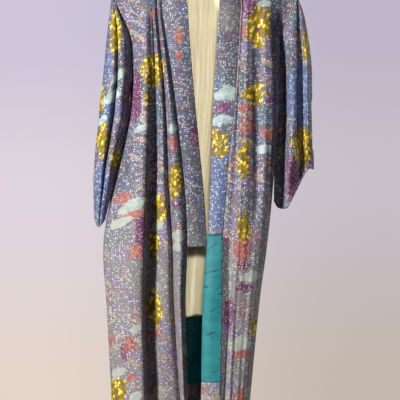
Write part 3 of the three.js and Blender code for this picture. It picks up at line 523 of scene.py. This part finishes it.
def print_material(name, blue_share, swirl_share):
    """Small dots over hazy ground colours, with clouds and flower clusters where the motifs are; the petals
    carry painted highlights and painted shade.
    """
    g = Graph(name)
    uv = g.uv()
    cloud, yellow, red = list(g.split("motif_a"))[:3]
    plum, blue, grey = list(g.split("motif_b"))[:3]
    patch = g.noise(uv, 26, 3, 0.6)
    fine = g.noise(uv, 62, 3, 0.6)
    drift = g.noise(g.stretch(uv, 26, 52), 1.0, 3, 0.65)
    haze = g.noise(g.stretch(uv, 13, 19), 1.0, 3, 0.6)
    haze_b = g.noise(g.stretch(uv, 16, 24), 1.7, 3, 0.6)

    def around(noise, weight):
        return g.times(g.minus(noise, 0.5), weight)

    def region(field, wobble, weight, soft=0.06):
        return g.step(g.plus(field, around(wobble, weight)), 0.5 - soft, 0.5 + soft)

    ground = g.mix(g.step(haze, 0.44, 0.56), SLATE, MAUVE)
    ground = g.mix(g.times(g.step(haze_b, 0.5, 0.6), blue_share), ground, BLUE)
    ground = g.mix(g.times(g.step(patch, 0.56, 0.66), 0.55), ground, LILAC)
    ground = g.mix(g.times(g.step(haze_b, 0.44, 0.38), 0.7), ground, DUSK)
    ground = g.mix(g.times(grey, 0.8), ground, SILVER)
    ground = g.mix(g.times(g.step(haze, 0.62, 0.68), 0.5), ground, ROSE)
    ground = g.mix(g.times(g.step(drift, 0.6, 0.68), 0.6), ground, SAGE)
    swirl = g.noise(g.slanted(uv, 0.46, 9, 32), 1.0, 2, 0.6)
    swirls = g.times(g.step(g.noise(uv, 6, 1), 0.45, 0.52), swirl_share)
    for low, high, tint in ((0.47, 0.43, LILAC), (0.53, 0.56, ROSE), (0.59, 0.61, SAND)):
        ground = g.mix(g.times(g.step(swirl, low, high), swirls), ground, tint)
    ground = g.mix(g.times(region(blue, patch, 1.6, 0.18), 0.85), ground, BLUE)
    plum_share = region(plum, patch, 2.2, 0.14)
    ground = g.mix(plum_share, ground, PLUM)
    rose_share = region(g.times(red, 1.3), drift, 2.6, 0.2)
    ground = g.mix(rose_share, ground, ROSE)
    scarlet = g.mix(g.step(fine, 0.42, 0.6), CRIMSON, VERMILION)
    red_share = region(g.minus(red, 0.36), patch, 2.6, 0.1)
    ground = g.mix(red_share, ground, scarlet)

    near, cell = g.cells(uv, 150, 0.62)
    radius = g.plus(0.24, g.times(cell[0], 0.13))
    dots = g.step(g.minus(near, radius), 0.06, -0.06)
    dots = g.times(dots, g.step(cell[1], 0.04, 0.06))
    grain, grain_cell = g.cells(uv, 270, 0.8)
    grains = g.step(g.minus(grain, 0.3), 0.08, -0.08)
    grains = g.times(grains, g.step(g.plus(grain_cell[0], g.times(grey, 0.45)), 0.56, 0.62))
    dot_colour = g.mix(g.times(cell[2], 0.55), DOT, ground)
    tint = g.times(g.math("MAXIMUM", plum_share, rose_share), 0.6)
    warm = g.mix(g.step(grain_cell[1], 0.6, 0.64), DOT_PINK, DOT_GOLD)
    dot_colour = g.mix(tint, dot_colour, warm)
    ring_near, ring_cell = g.cells(g.stretch(uv, 1, 1.25), 74, 0.95)
    ring = g.step(g.math("ABSOLUTE", g.minus(ring_near, 0.3)), 0.1, 0.04)
    ring = g.times(ring, g.step(ring_cell[0], 0.74, 0.8))
    marks = g.math("MAXIMUM", dots, g.times(grains, 0.75))
    marks = g.math("MAXIMUM", marks, g.times(ring, 0.5))
    colour = g.mix(g.times(marks, 0.92), ground, dot_colour)
    colour = g.mix(g.times(red_share, 0.45), colour, scarlet)

    shift = around(g.noise(uv, 120, 2), 0.016)
    warped = g.node("VectorMath", {0: uv, 1: shift}, operation="ADD").outputs[0]
    petal, petal_cell = g.cells(g.stretch(warped, 1, 0.75), 104, 1.0)
    # painted highlight: the middle of some petals is lighter
    lit = g.times(g.step(petal, 0.46, 0.2), g.step(petal_cell[1], 0.3, 0.5, 0.25, 1.0))
    flower = g.mix(lit, PETAL, PETAL_LIT)
    flower = g.mix(g.step(petal_cell[0], 0.76, 0.78), flower, LEAF)
    flower = g.mix(g.times(g.step(petal_cell[2], 0.9, 0.92), 0.8), flower, PLUM)
    # painted shade: each petal darkens towards its rim
    flower = g.mix(g.times(g.step(petal, 0.42, 0.56), 0.85), flower, PETAL_RIM_SHADE)
    value = g.plus(yellow, around(patch, 2.0))
    value = g.plus(value, around(fine, 1.6))
    value = g.plus(value, around(petal_cell[1], 0.35))
    value = g.times(g.step(value, 0.3, 0.37), g.step(yellow, 0.06, 0.16))
    colour = g.mix(value, colour, flower)
    wisps = g.mix(g.step(fine, 0.36, 0.66), g.mix(g.step(grey, 0.0, 0.25), CLOUD, CLOUD_LOW), CLOUD_DIM)
    colour = g.mix(region(g.times(cloud, 1.2), drift, 2.3, 0.03), colour, wisps)

    weave = g.noise(g.stretch(uv, 900, 700), 1.0, 2)
    crepe = g.noise(g.stretch(uv, 70, 26), 1.0, 3, 0.65)
    normal = g.bump(weave, 0.25, 0.0004)
    normal = g.bump(crepe, 0.55, 0.0022, normal)
    return g.finish(
        colour, g.step(fine, 0.3, 0.7, 0.5, 0.62), normal, Sheen_Weight=0.08, Sheen_Roughness=0.4,
        Specular_IOR_Level=0.25,
    )


def cream_material():
    g = Graph("cream silk")
    uv = g.uv()
    streak = g.noise(g.stretch(uv, 150, 5), 1.0, 3, 0.6)
    broad = g.noise(g.stretch(uv, 22, 3), 1.0, 2)
    stain = g.noise(uv, 7, 3)
    colour = g.mix(g.step(streak, 0.3, 0.7), (0.58, 0.50, 0.30), (0.78, 0.71, 0.50))
    colour = g.mix(g.times(g.step(stain, 0.5, 0.8), 0.35), colour, (0.47, 0.38, 0.20))
    normal = g.bump(streak, 0.8, 0.0016)
    normal = g.bump(broad, 0.6, 0.004, normal)
    return g.finish(colour, 0.6, normal, Sheen_Weight=0.15, Specular_IOR_Level=0.35)


def teal_material():
    """Smooth silk with a few slanting pinched creases, darkened with painted shade along them."""
    g = Graph("teal silk")
    uv = g.uv()
    cross = g.noise(g.stretch(uv, 14, 40), 1.0, 3, 0.55)
    crease_and_shade = g.step(g.noise(g.slanted(uv, 0.35, 18, 74), 1.0, 1), 0.64, 0.69)
    weave = g.noise(g.stretch(uv, 1100, 900), 1.0, 1)
    colour = g.mix(g.step(cross, 0.3, 0.7), (0.01, 0.165, 0.185), (0.014, 0.215, 0.24))
    # painted shade: the teal is darker along the creases
    colour = g.mix(g.times(crease_and_shade, 0.75), colour, (0.005, 0.05, 0.065))
    normal = g.bump(cross, 0.6, 0.0022)
    normal = g.bump(crease_and_shade, 0.5, 0.0008, normal)
    normal = g.bump(weave, 0.15, 0.0003, normal)
    return g.finish(colour, 0.55, normal, Sheen_Weight=0.06, Specular_IOR_Level=0.3)


def wood_material():
    g = Graph("varnished wood")
    place = g.node("TexCoord").outputs["Object"]
    grain = g.noise(g.stretch(place, 9, 160, 160), 1.0, 4, 0.6)
    colour = g.mix(g.step(grain, 0.35, 0.65), (0.36, 0.19, 0.08), (0.52, 0.31, 0.14))
    return g.finish(colour, 0.35, g.bump(grain, 0.2, 0.0006), Coat_Weight=0.3, Coat_Roughness=0.2)


def steel_material():
    g = Graph("hook wire")
    place = g.node("TexCoord").outputs["Object"]
    scuff = g.noise(place, 300, 2)
    return g.finish((0.62, 0.62, 0.63), g.step(scuff, 0.3, 0.7, 0.2, 0.34), None, Metallic=1.0)


def thread_material():
    g = Graph("sewing thread")
    place = g.node("TexCoord").outputs["Object"]
    twist = g.noise(place, 2500, 1)
    colour = g.mix(twist, (0.55, 0.53, 0.48), (0.72, 0.70, 0.66))
    return g.finish(colour, 0.7, None, Sheen_Weight=0.2)


PRINT = print_material("print silk", 0.5, 0.85)
COLLAR_PRINT = print_material("print silk, bluer", 0.8, 0.12)
CREAM, TEAL = cream_material(), teal_material()
WOOD, STEEL, THREAD = wood_material(), steel_material(), thread_material()

# ---- The cloth --------------------------------------------------------------------------
STEP = 5.5  # rows, in millimetres
FINE = 9  # columns to a fold line
ripple = Noise(3, [(2.1, 0.004), (3.6, 0.009), (1.2, 0.014), (5.5, 0.006)])
gather = Noise(5, [(0.8, 0.03), (1.6, 0.045)])


def rippled(surface, sides, depth=1.5):
    """The surface with small uneven folds, which fade out at the sides and the shoulder."""

    def moved(u, v):
        p = surface(u, v)
        drop = -(p[:, 2] + NECK_DROP)
        free = smooth((drop - 60) / 160)
        for side in sides:
            free = free * smooth(np.abs(u - side) / 1.3)
        p[:, 1] += free * (depth * ripple(u, drop) + 0.45 * gather(u, drop))
        return p

    return moved


cloth = {
    "right": rippled(front_of["right"], [0]),
    "left": rippled(front_of["left"], [0, col(FRONT_LEFT, "bend")]),
}
cloth_back = rippled(back_of, [0, len(BACK) - 1], 2.0)
BOTTOM = HEM - YOKE


def limits_of(table):
    return 0, len(table) - 1, -YOKE_V, BOTTOM


def spaced(a, b, step):
    return np.linspace(a, b, max(2, int(math.ceil(abs(b - a) / step)) + 1))


def joined(*runs):
    return np.unique(np.round(np.concatenate(runs), 6))


def grid(surface, us, vs, limits, flip=False, offset=0.0, dv=1.0):
    u, v = (a.ravel() for a in np.meshgrid(us, vs))
    n = normals_of(surface, u, v, limits, 0.02, dv)
    if flip:
        n = -n
    p = surface(u, v) + n * offset
    shape = (len(vs), len(us), 3)
    return p.reshape(shape), n.reshape(shape)


YOKE_ROWS = np.array(
    [-100, -99.4, -98.5, -97.3, -96, -94, -91, -88, -84, -79, -73, -66, -58, -49, -40, -30, -20, -10]
)
made = {}


def keep_piece(obj, node):
    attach(obj, "root")
    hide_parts(node)
    made[node] = obj
    return obj


def panel(
    name, surface, us, vs, limits, flip, materials, rows, keep=None, thick=WALL, offset=0.0,
):
    p, n = grid(surface, us, vs, limits, flip, offset)
    if flip:
        p, n = p[:, ::-1], n[:, ::-1]
        us = us[::-1]
    uv = cloth_uv(p)
    cells = None
    if keep is not None:
        cu = (us[:-1] + us[1:]) / 2
        cv = (vs[:-1] + vs[1:]) / 2
        cells = keep(*np.meshgrid(cu, cv))
    obj = shell(name, p, n, thick, uv, motif_colours(p, rows), materials, cells)
    return keep_piece(obj, name)


back_motifs = scattered(23, -32, 30, 8, 142, 70)
for side in ("right", "left"):
    table, surface = table_of[side], cloth[side]
    seam, edge, last = col(table, "seam"), col(table, "edge"), len(table) - 1
    limits = limits_of(table)
    flip = side == "right"
    vs = joined(YOKE_ROWS, spaced(0, OVERLAP_TOP - YOKE, STEP), spaced(OVERLAP_TOP - YOKE, BOTTOM, STEP))
    panel(
        f"front_{side}", surface, spaced(0, edge, 1 / FINE), vs, limits, flip, [PRINT, CREAM], MOTIFS,
        lambda u, v: (u < seam) | (v < OVERLAP_TOP - YOKE),
    )
    flap_top = COLLAR_END["left"] + 2.5 - YOKE
    us = spaced(seam, last, 1 / FINE)
    us[0] += SEAM_GAP / 12
    vs = joined(spaced(OVERLAP_TOP + SEAM_GAP - YOKE, flap_top, STEP), spaced(flap_top, BOTTOM, STEP))
    panel(
        f"overlap_{side}", surface, us, vs, limits, flip, [PRINT, PRINT if side == "right" else TEAL], MOTIFS,
        lambda u, v: (u < edge) | (v > flap_top),
    )

limits = limits_of(BACK)
centre = col(BACK, "centre")
vs = joined(YOKE_ROWS, spaced(0, BOTTOM, STEP))
half_seam = SEAM_GAP / 84
for side, ends in (("right", (0, centre - half_seam)), ("left", (centre + half_seam, len(BACK) - 1))):
    panel(f"back_{side}", cloth_back, spaced(*ends, 1 / FINE), vs, limits, False, [PRINT, CREAM], back_motifs)


def bagged(u, v):
    """The cream lining sags over the teal one: its lower edge bulges and is uneven."""
    p = cloth_back(u, v)
    drop = YOKE + v
    sag = smooth((drop - CREAM_END + SAG_REACH) / 80)
    bulge = np.sin(np.pi * np.clip((CREAM_END + 34 - drop) / 120, 0, 1))
    p[:, 1] -= sag * (SAG_DEPTH + 3 * np.sin(2.3 * u + 1)) * bulge
    p[:, 2] += sag * (3.5 * np.sin(2.1 * u + 0.6) + 2 * np.sin(5.2 * u))
    return p


INWARD = -(WALL / 2 + LINING_GAP + LINING_WALL / 2)
for name, top, bottom, material, slot_name in (
    ("lining_upper", None, CREAM_END - SEAM_GAP, CREAM, "cream_lining"),
    ("lining_lower", CREAM_END, TEAL_END - SEAM_GAP, TEAL, "teal_lining"),
    ("hem_facing", TEAL_END, HEM - 2, PRINT, "silk_print"),
):
    start = -60 if top is None else top - YOKE
    surface = bagged if name == "lining_upper" else cloth_back
    panel(
        name, surface, spaced(1.27, len(BACK) - 2.27, 1 / FINE), spaced(start, bottom - YOKE, STEP), limits,
        False, [material, material], back_motifs, None, LINING_WALL, INWARD,
    )
bend, last = col(FRONT_LEFT, "bend"), len(FRONT_LEFT) - 1
limits = limits_of(FRONT_LEFT)


def ragged(u, v):
    """The turned-back lining's free edge is cut unevenly."""
    p = cloth["left"](u, v)
    bite = 1.2 + 1.1 * np.sin(0.21 * v) + 0.9 * np.sin(0.083 * v + 1)
    p[:, 0] -= (u > last - 0.5) * smooth((u - last + 0.5) / 0.4) * bite
    return p


for name, top, bottom, material, slot_name in (
    ("flap_lining", COLLAR_END["left"] + 4, FLAP_TEAL_END - SEAM_GAP, TEAL, "teal_lining"),
    ("flap_facing", FLAP_TEAL_END, HEM - 2, PRINT, "silk_print"),
):
    panel(
        name, ragged, spaced(bend, last - 0.06, 1 / FINE), spaced(top - YOKE, bottom - YOKE, STEP), limits,
        False, [material, material], MOTIFS, None, LINING_WALL, INWARD,
    )


# ---- Sleeves ----------------------------------------------------------------------------
def sleeve_surface(sleeve):
    side, folds = sleeve["side"], sleeve["folds"]
    name = "right" if side < 0 else "left"
    front, table = front_of[name], table_of[name]
    turn = col(folds, "outer")
    shares = [row[0] for row in folds.values()]
    soft = Noise(8 + side, [(2.4, 0.010), (4.5, 0.016)])

    def seam_at(is_front, drop):
        v = drop - YOKE
        at = np.full(drop.shape, 0.1 if is_front or side < 0 else len(BACK) - 1.1)
        surface, rows = (front, table) if is_front else (back_of, BACK)
        n = normals_of(surface, at, v, limits_of(rows))
        if is_front and side < 0:
            n = -n
        p = surface(at, v) + n * ARMHOLE_LAP[side]
        clear = mix(ARMHOLE_GAP, -10, smooth((drop - 150) / 110))
        p[:, 0] = side * np.maximum(np.abs(p[:, 0]), np.abs(front(np.zeros_like(v), v)[:, 0]) + clear)
        return p

    def surface(u, v):
        share = np.clip(across(shares, u), 0, 1)
        drop = mix(SLEEVE_TOP, through(*sleeve["bottom"], share), v)
        depth = across([through([0.1, 0.5, 1], row[1], v) for row in folds.values()], u)
        opened = mix(0.6, 1, smooth((drop - SLEEVE_TOP) / 160))
        closed = 1 - 0.7 * smooth((v - 0.78) / 0.22)
        middle = mix(4, 10, v)
        x = side * mix(through(*sleeve["inner"], drop), through(*sleeve["outline"], drop), share)
        y = middle + (depth - middle) * opened * closed
        free = smooth((v - 0.12) / 0.2) * smooth((0.97 - v) / 0.15) * smooth((share - 0.12) / 0.2)
        y = y + 1.5 * free * soft(u, drop)
        sewn = (1 - smooth(share / 0.22)) * (1 - smooth((drop - ARMHOLE_END) / 60))
        for is_front in (True, False):
            here = (sewn > 0) & ((u <= turn) == is_front)
            if here.any():
                seam = seam_at(is_front, drop[here])
                x[here] = mix(x[here], seam[:, 0], sewn[here])
                y[here] = mix(y[here], seam[:, 1], sewn[here])
        return np.stack([x, y, -NECK_DROP - drop], 1)

    return surface


def sleeve_piece(name, sleeve, rows):
    side, folds = sleeve["side"], sleeve["folds"]
    surface = sleeve_surface(sleeve)
    turn, last = col(folds, "outer"), len(folds) - 1
    half = 7 * FINE
    us = np.concatenate([np.linspace(0, turn, half + 1), np.linspace(turn, last, half + 1)[1:]])
    vs = spaced(0, 1, STEP / 640)
    p, n = grid(surface, us, vs, (0, last, 0, 1), side > 0, dv=0.002)
    wide = len(us)
    low, high = sleeve["cuff"]
    outer_end = sleeve["bottom"][1][-1]
    cut = round(half / 14)
    cells = np.ones((len(vs) - 1, wide - 1), bool)
    for j in range(len(vs) - 1):
        drop = mix(SLEEVE_TOP, outer_end, (vs[j] + vs[j + 1]) / 2)
        if low < drop < high - CUFF_ROUND:
            ease = min(1, (drop - low) / 20, (high - CUFF_ROUND - drop) / 20)
            reach = max(1, round(cut * ease))
            cells[j, half - reach : half + reach] = False
    zips = []
    for row in (0, len(vs) - 1):
        for k in range(half):
            a, b = row * wide + k, row * wide + 2 * half - k
            ring = [a, a + 1, b - 1, b] if k + 1 < half else [a, a + 1, b]
            zips.append(ring if row else ring[::-1])
    uv = cloth_uv(p)
    colours = motif_colours(p, rows)
    if side > 0:
        mirror = np.arange(wide)[::-1]
        p, n, uv = p[:, mirror], n[:, mirror], uv[:, mirror]
        colours = {k: c[:, mirror] for k, c in colours.items()}
        cells = cells[:, ::-1]
    obj = shell(name, p, n, WALL, uv, colours, [PRINT, CREAM], cells, zips)
    return keep_piece(obj, name)


sleeve_piece("sleeve_right", SLEEVE_RIGHT, MOTIFS)
sleeve_piece("sleeve_left", SLEEVE_LEFT, MOTIFS)


# ---- Collar -----------------------------------------------------------------------------
def collar_stations():
    def down(side):
        sign = 1 if side == "left" else -1
        edge = float(col(table_of[side], "edge"))
        top = joined(spaced(YOKE - 40, YOKE, 20), spaced(YOKE, OVERLAP_TOP, 20))
        drops = joined(top, spaced(OVERLAP_TOP, COLLAR_END[side], 28))
        v = np.where(drops < YOKE, YOKE_V * (drops - YOKE) / YOKE, drops - YOKE)
        seam = cloth[side](np.full(v.shape, edge), v)
        seam[:, 0] -= sign * (SEAM_GAP + COLLAR_WALL * 0.35)
        at, xs, ys = COLLAR_FREE[side]
        lifted = np.maximum(0, YOKE - drops) / YOKE
        free = np.stack([through(at, xs, drops), through(at, ys, drops) + 12 * lifted, -NECK_DROP - drops], 1)
        return list(zip(seam, free))

    def neck(sign):
        pairs = []
        for sx, sy, sd, fx, fy, fd in COLLAR_SHOULDER:
            pairs.append(((sign * sx, sy, -NECK_DROP - sd), (sign * fx, fy, -NECK_DROP - fd)))
        for angle, fx, fy, fd in COLLAR_NECK:
            c, share = math.cos(math.radians(angle)), math.sin(math.radians(angle))
            seam_drop = NECK_DIP * share - mix(2.6, 1.3, share)
            seam = (sign * (NECK_HALF * c - 1.2), NECK_BACK * share, -NECK_DROP - seam_drop)
            pairs.append((seam, (sign * fx, fy, -NECK_DROP - fd)))
        return pairs

    return down("right")[::-1] + neck(-1) + neck(1)[::-1][1:] + down("left")


def collar_piece():
    stations = collar_stations()
    seams = np.array([s for s, _ in stations], float)
    frees = np.array([f for _, f in stations], float)
    last = len(stations) - 1

    def surface(u, v):
        seam = np.stack([across(np.repeat(seams[:, k : k + 1], v.size, 1), v) for k in range(3)], 1)
        free = np.stack([across(np.repeat(frees[:, k : k + 1], v.size, 1), v) for k in range(3)], 1)
        p = seam + (free - seam) * u[:, None]
        p[:, 1] -= COLLAR_CROWN * np.sin(np.pi * u) * smooth((-p[:, 2] - NECK_DROP) / 120)
        return p

    us = np.linspace(0, 1, 25)
    vs = spaced(0, last, 0.25)
    p, n = grid(surface, us, vs, (0, 1, 0, last), dv=0.02)
    across_m = np.cumsum(np.linalg.norm(np.diff(p[:, :, :], axis=1, prepend=p[:, :1]), axis=2), 1)
    along_m = np.cumsum(np.linalg.norm(np.diff(p, axis=0, prepend=p[:1]), axis=2).mean(1))
    uv = np.stack([across_m, np.repeat(along_m[:, None], len(us), 1)], 2) / 1000
    left = motif_colours(p, COLLAR_LEFT_MOTIFS)
    right = motif_colours(p, COLLAR_RIGHT_MOTIFS)
    colours = {k: np.where(vs[:, None, None] > last / 2, left[k], right[k]) for k in left}
    obj = shell("collar", p, n, COLLAR_WALL, uv, colours, [COLLAR_PRINT, COLLAR_PRINT])
    return keep_piece(obj, "collar")


collar_piece()


# ---- Hanger -----------------------------------------------------------------------------
def tube_between(name, rings, material):
    """A closed skin over rings of points, (rings, points, 3), with flat ends."""
    rings = np.asarray(rings, float)
    count, n = rings.shape[:2]
    faces = [
        [s * n + k, s * n + (k + 1) % n, (s + 1) * n + (k + 1) % n, (s + 1) * n + k]
        for s in range(count - 1)
        for k in range(n)
    ]
    faces += [list(range(n))[::-1], list(range((count - 1) * n, count * n))]
    return make_object(name, rings.reshape(-1, 3), faces, materials=[material])


def hanger_arms():
    turn = np.linspace(0, 2 * np.pi, 25)[:-1]
    r = HANGER_THICK / 2
    rings = []
    for x in np.linspace(-HANGER_HALF, HANGER_HALF, 120):
        slim = 1 - 0.35 * (abs(x) / HANGER_HALF) ** 4
        end = math.sqrt(max(0.0, 1 - max(0, (abs(x) - HANGER_HALF + 8) / 8.2) ** 2))
        top = -NECK_DROP - float(shoulder_drop(np.array(x))) - WALL / 2 - HANGER_GAP
        top -= HANGER_DIP * float(smooth(np.array((NECK_HALF + 8 - abs(x)) / 10)))
        half = HANGER_HEIGHT * slim / 2
        y = r * 0.98 * np.sin(turn) * end
        z = np.sign(np.cos(turn)) * np.abs(np.cos(turn)) ** 0.75 * half * end + top - half
        rings.append(np.stack([np.full(turn.shape, x), y, z], 1))
    return tube_between("hanger_arms", rings, WOOD)


def hanger_hook():
    centre = -HOOK_RADIUS + HOOK_WIRE / 2
    angles = np.radians(np.linspace(200, -55, 90))
    path = [(HOOK_RADIUS * math.cos(a), centre + HOOK_RADIUS * math.sin(a)) for a in angles]
    end_x, end_z = path[-1]
    for t in np.linspace(0, 1, 30)[1:]:
        path.append((end_x * (1 - t) ** 2.2, end_z + (centre - 34 - end_z) * t))
    path += [(0, z) for z in np.linspace(centre - 34, HOOK_FOOT, 14)[1:]]
    path = np.array(path)
    along = np.gradient(path, axis=0)
    along /= np.linalg.norm(along, axis=1, keepdims=True)
    turn = np.linspace(0, 2 * np.pi, 17)[:-1]
    rings = []
    for i, ((x, z), (dx, dz)) in enumerate(zip(path, along)):
        r = HOOK_WIRE / 2 * (0.5 if i == 0 else 1)
        ring = [(x - dz * r * math.cos(t), r * math.sin(t), z + dx * r * math.cos(t)) for t in turn]
        rings.append(ring)
    return tube_between("hanger_hook", rings, STEEL)


keep_piece(hanger_arms(), "hanger_arms")
keep_piece(hanger_hook(), "hanger_hook")

# ---- Sewing thread ----------------------------------------------------------------------
STITCH_HALF, STITCH_RADIUS, STITCH_STEP = 2.3, 0.42, 9.0


def stitches(node, surface, limits, offset, lines):
    """A row of small hand stitches along each line (u, v), on one side of the cloth."""
    turn = np.linspace(0, 2 * np.pi, 7)[:-1]
    points, faces = [], []
    for line_u, line_v in lines:
        u, v = (np.interp(np.linspace(0, 1, 1500), np.linspace(0, 1, len(a)), a) for a in (line_u, line_v))
        n = normals_of(surface, u, v, limits)
        p = surface(u, v) + n * offset
        along = np.concatenate([[0], np.cumsum(np.linalg.norm(np.diff(p, axis=0), axis=1))])
        for centre in np.arange(STITCH_STEP, along[-1] - STITCH_STEP, STITCH_STEP):
            centre += rng.uniform(-0.7, 0.7)
            reach = np.linspace(-1, 1, 5)
            at = centre + reach * STITCH_HALF * rng.uniform(0.85, 1.1)
            mid = np.stack([np.interp(at, along, p[:, k]) for k in range(3)], 1)
            up = np.stack([np.interp(at, along, n[:, k]) for k in range(3)], 1) * math.copysign(1, offset)
            ahead = np.gradient(mid, axis=0)
            ahead /= np.linalg.norm(ahead, axis=1, keepdims=True)
            wide = np.cross(ahead, up)
            mid += up * (0.15 - 0.45 * reach[:, None] ** 2)
            r = STITCH_RADIUS * np.sqrt(1.15 - reach[:, None, None] ** 2)
            cosine, sine = np.cos(turn)[:, None], np.sin(turn)[:, None]
            ring = mid[:, None] + r * (wide[:, None] * cosine + up[:, None] * sine)
            base = sum(len(q) for q in points)
            points.append(ring.reshape(-1, 3))
            for s in range(4):
                for k in range(6):
                    a, b = base + s * 6 + k, base + s * 6 + (k + 1) % 6
                    faces.append([a, b, b + 6, a + 6])
            faces += [list(range(base, base + 6))[::-1], list(range(base + 24, base + 30))]
    obj = make_object("stitches_" + node, np.concatenate(points), faces, materials=[THREAD])
    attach(obj, "root")
    return obj


FACE = INWARD - LINING_WALL / 2
back_limits, left_limits = limits_of(BACK), limits_of(FRONT_LEFT)
flap_edge, flap_drop = len(FRONT_LEFT) - 1.14, (COLLAR_END["left"] + 8 - YOKE, FLAP_TEAL_END - YOKE - 4)
across_back = (1.3, len(BACK) - 2.3)
sewn = {
    "flap_lining": stitches("flap_lining", ragged, left_limits, FACE, [
        ((flap_edge, flap_edge), flap_drop),
        ((bend + 0.1, flap_edge), (flap_drop[1], flap_drop[1])),
    ]),
    "lining_upper": stitches("lining_upper", bagged, back_limits, FACE, [
        (across_back, (CREAM_END - YOKE - 5, CREAM_END - YOKE - 5)),
    ]),
    "hem_facing": stitches("hem_facing", cloth_back, back_limits, FACE, [
        (across_back, (TEAL_END - YOKE + 4, TEAL_END - YOKE + 4)), (across_back, (BOTTOM - 8, BOTTOM - 8)),
    ]),
}

# ---- Backdrop, lights and camera --------------------------------------------------------
ROOM, FLOOR, CEILING = 10000, -3400, 10000


def unlit(obj):
    """The stage is seen by the camera alone, so that it doesn't light the cloth."""
    obj.visible_diffuse = obj.visible_glossy = obj.visible_transmission = obj.visible_shadow = False


def backdrop():
    """A lit paper room: lilac, then pink, then peach lower down, and darker to the right with painted shade.
    """
    g = Graph("paper backdrop")
    place = g.node("SeparateXYZ", {0: g.node("TexCoord").outputs["Object"]}).outputs
    low = g.step(place[2], -2.197, -0.81)
    colour = g.mix(low, (0.775, 0.67, 0.595), (0.745, 0.665, 0.735))
    colour = g.mix(g.step(place[2], -0.81, 0.576), colour, (0.61, 0.555, 0.69))
    # painted shade: the glow dims towards the right, more so lower down
    darker = g.step(place[2], -2.197, 0.576, 0.29, 0.16)
    side = g.minus(1.0, g.times(g.step(place[0], -1.4, 1.375), darker))
    tint = g.node("Emission", {"Color": colour, "Strength": side})
    g.tree.links.new(tint.outputs[0], g.out.inputs[0])
    angles = [math.radians(5 * k) for k in range(72)]
    ring = [(ROOM * math.cos(a), ROOM * math.sin(a)) for a in angles]
    corners = [(x, y, z) for z in (FLOOR, CEILING) for x, y in ring]
    walls = [[k, (k + 1) % 72, 72 + (k + 1) % 72, 72 + k] for k in range(72)]
    caps = [list(range(72)), list(range(72, 144))[::-1]]
    unlit(make_object("backdrop", corners, walls + caps, materials=[g.material], smooth_shade=False))


def area_light(name, place, target, size, power, colour):
    light = bpy.data.lights.new(name, "AREA")
    light.shape = "DISK"
    light.size, light.energy, light.color = size, power, colour
    obj = bpy.data.objects.new(name, light)
    obj.location = place
    obj.rotation_euler = (Vector(target) - Vector(place)).to_track_quat("-Z", "Y").to_euler()
    bpy.context.scene.collection.objects.link(obj)
    return obj


backdrop()
MIDDLE = (-0.0116, 0.0, -0.792)
area_light("key", (-2.9, -3.1, 0.3), MIDDLE, 0.4, 318, (1.0, 0.97, 0.93))
area_light("front fill", (0.3, -5.2, -0.5), MIDDLE, 1.2, 15, (1.0, 0.98, 0.97))
area_light("back light", (0.9, 5.1, 0.2), MIDDLE, 1.0, 200, (1.0, 0.98, 0.96))
inner = area_light("lining light", (0.15, -4.4, 0.3), MIDDLE, 0.6, 200, (1.0, 0.98, 0.95))
area_light("side fill", (4.8, 1.3, 0.1), MIDDLE, 1.5, 95, (1.0, 0.98, 0.98))
strip = area_light("strip light", (0.5, -4.6, -0.6), MIDDLE, 0.6, 75, (1.0, 0.98, 0.97))
for light, node in ((inner, "lining_upper"), (strip, "overlap_left")):
    lit = bpy.data.collections.new("lit " + node)
    lit.objects.link(made[node])
    light.light_linking.receiver_collection = lit

world = bpy.data.worlds.new("room")
bpy.context.scene.world = world
world.use_nodes = True
world.node_tree.nodes["Background"].inputs[0].default_value = (0.80, 0.77, 0.80, 1)
world.node_tree.nodes["Background"].inputs[1].default_value = 0.05

camera_data = bpy.data.cameras.new("camera")
camera = bpy.data.objects.new("camera", camera_data)
camera_data.sensor_width, camera_data.lens = 36, 186.2
camera.location = (MIDDLE[0], -6.04, MIDDLE[2])
camera.rotation_euler = (math.pi / 2, 0, 0)
bpy.context.scene.collection.objects.link(camera)
bpy.context.scene.camera = camera
bpy.context.scene.view_settings.view_transform = "Standard"
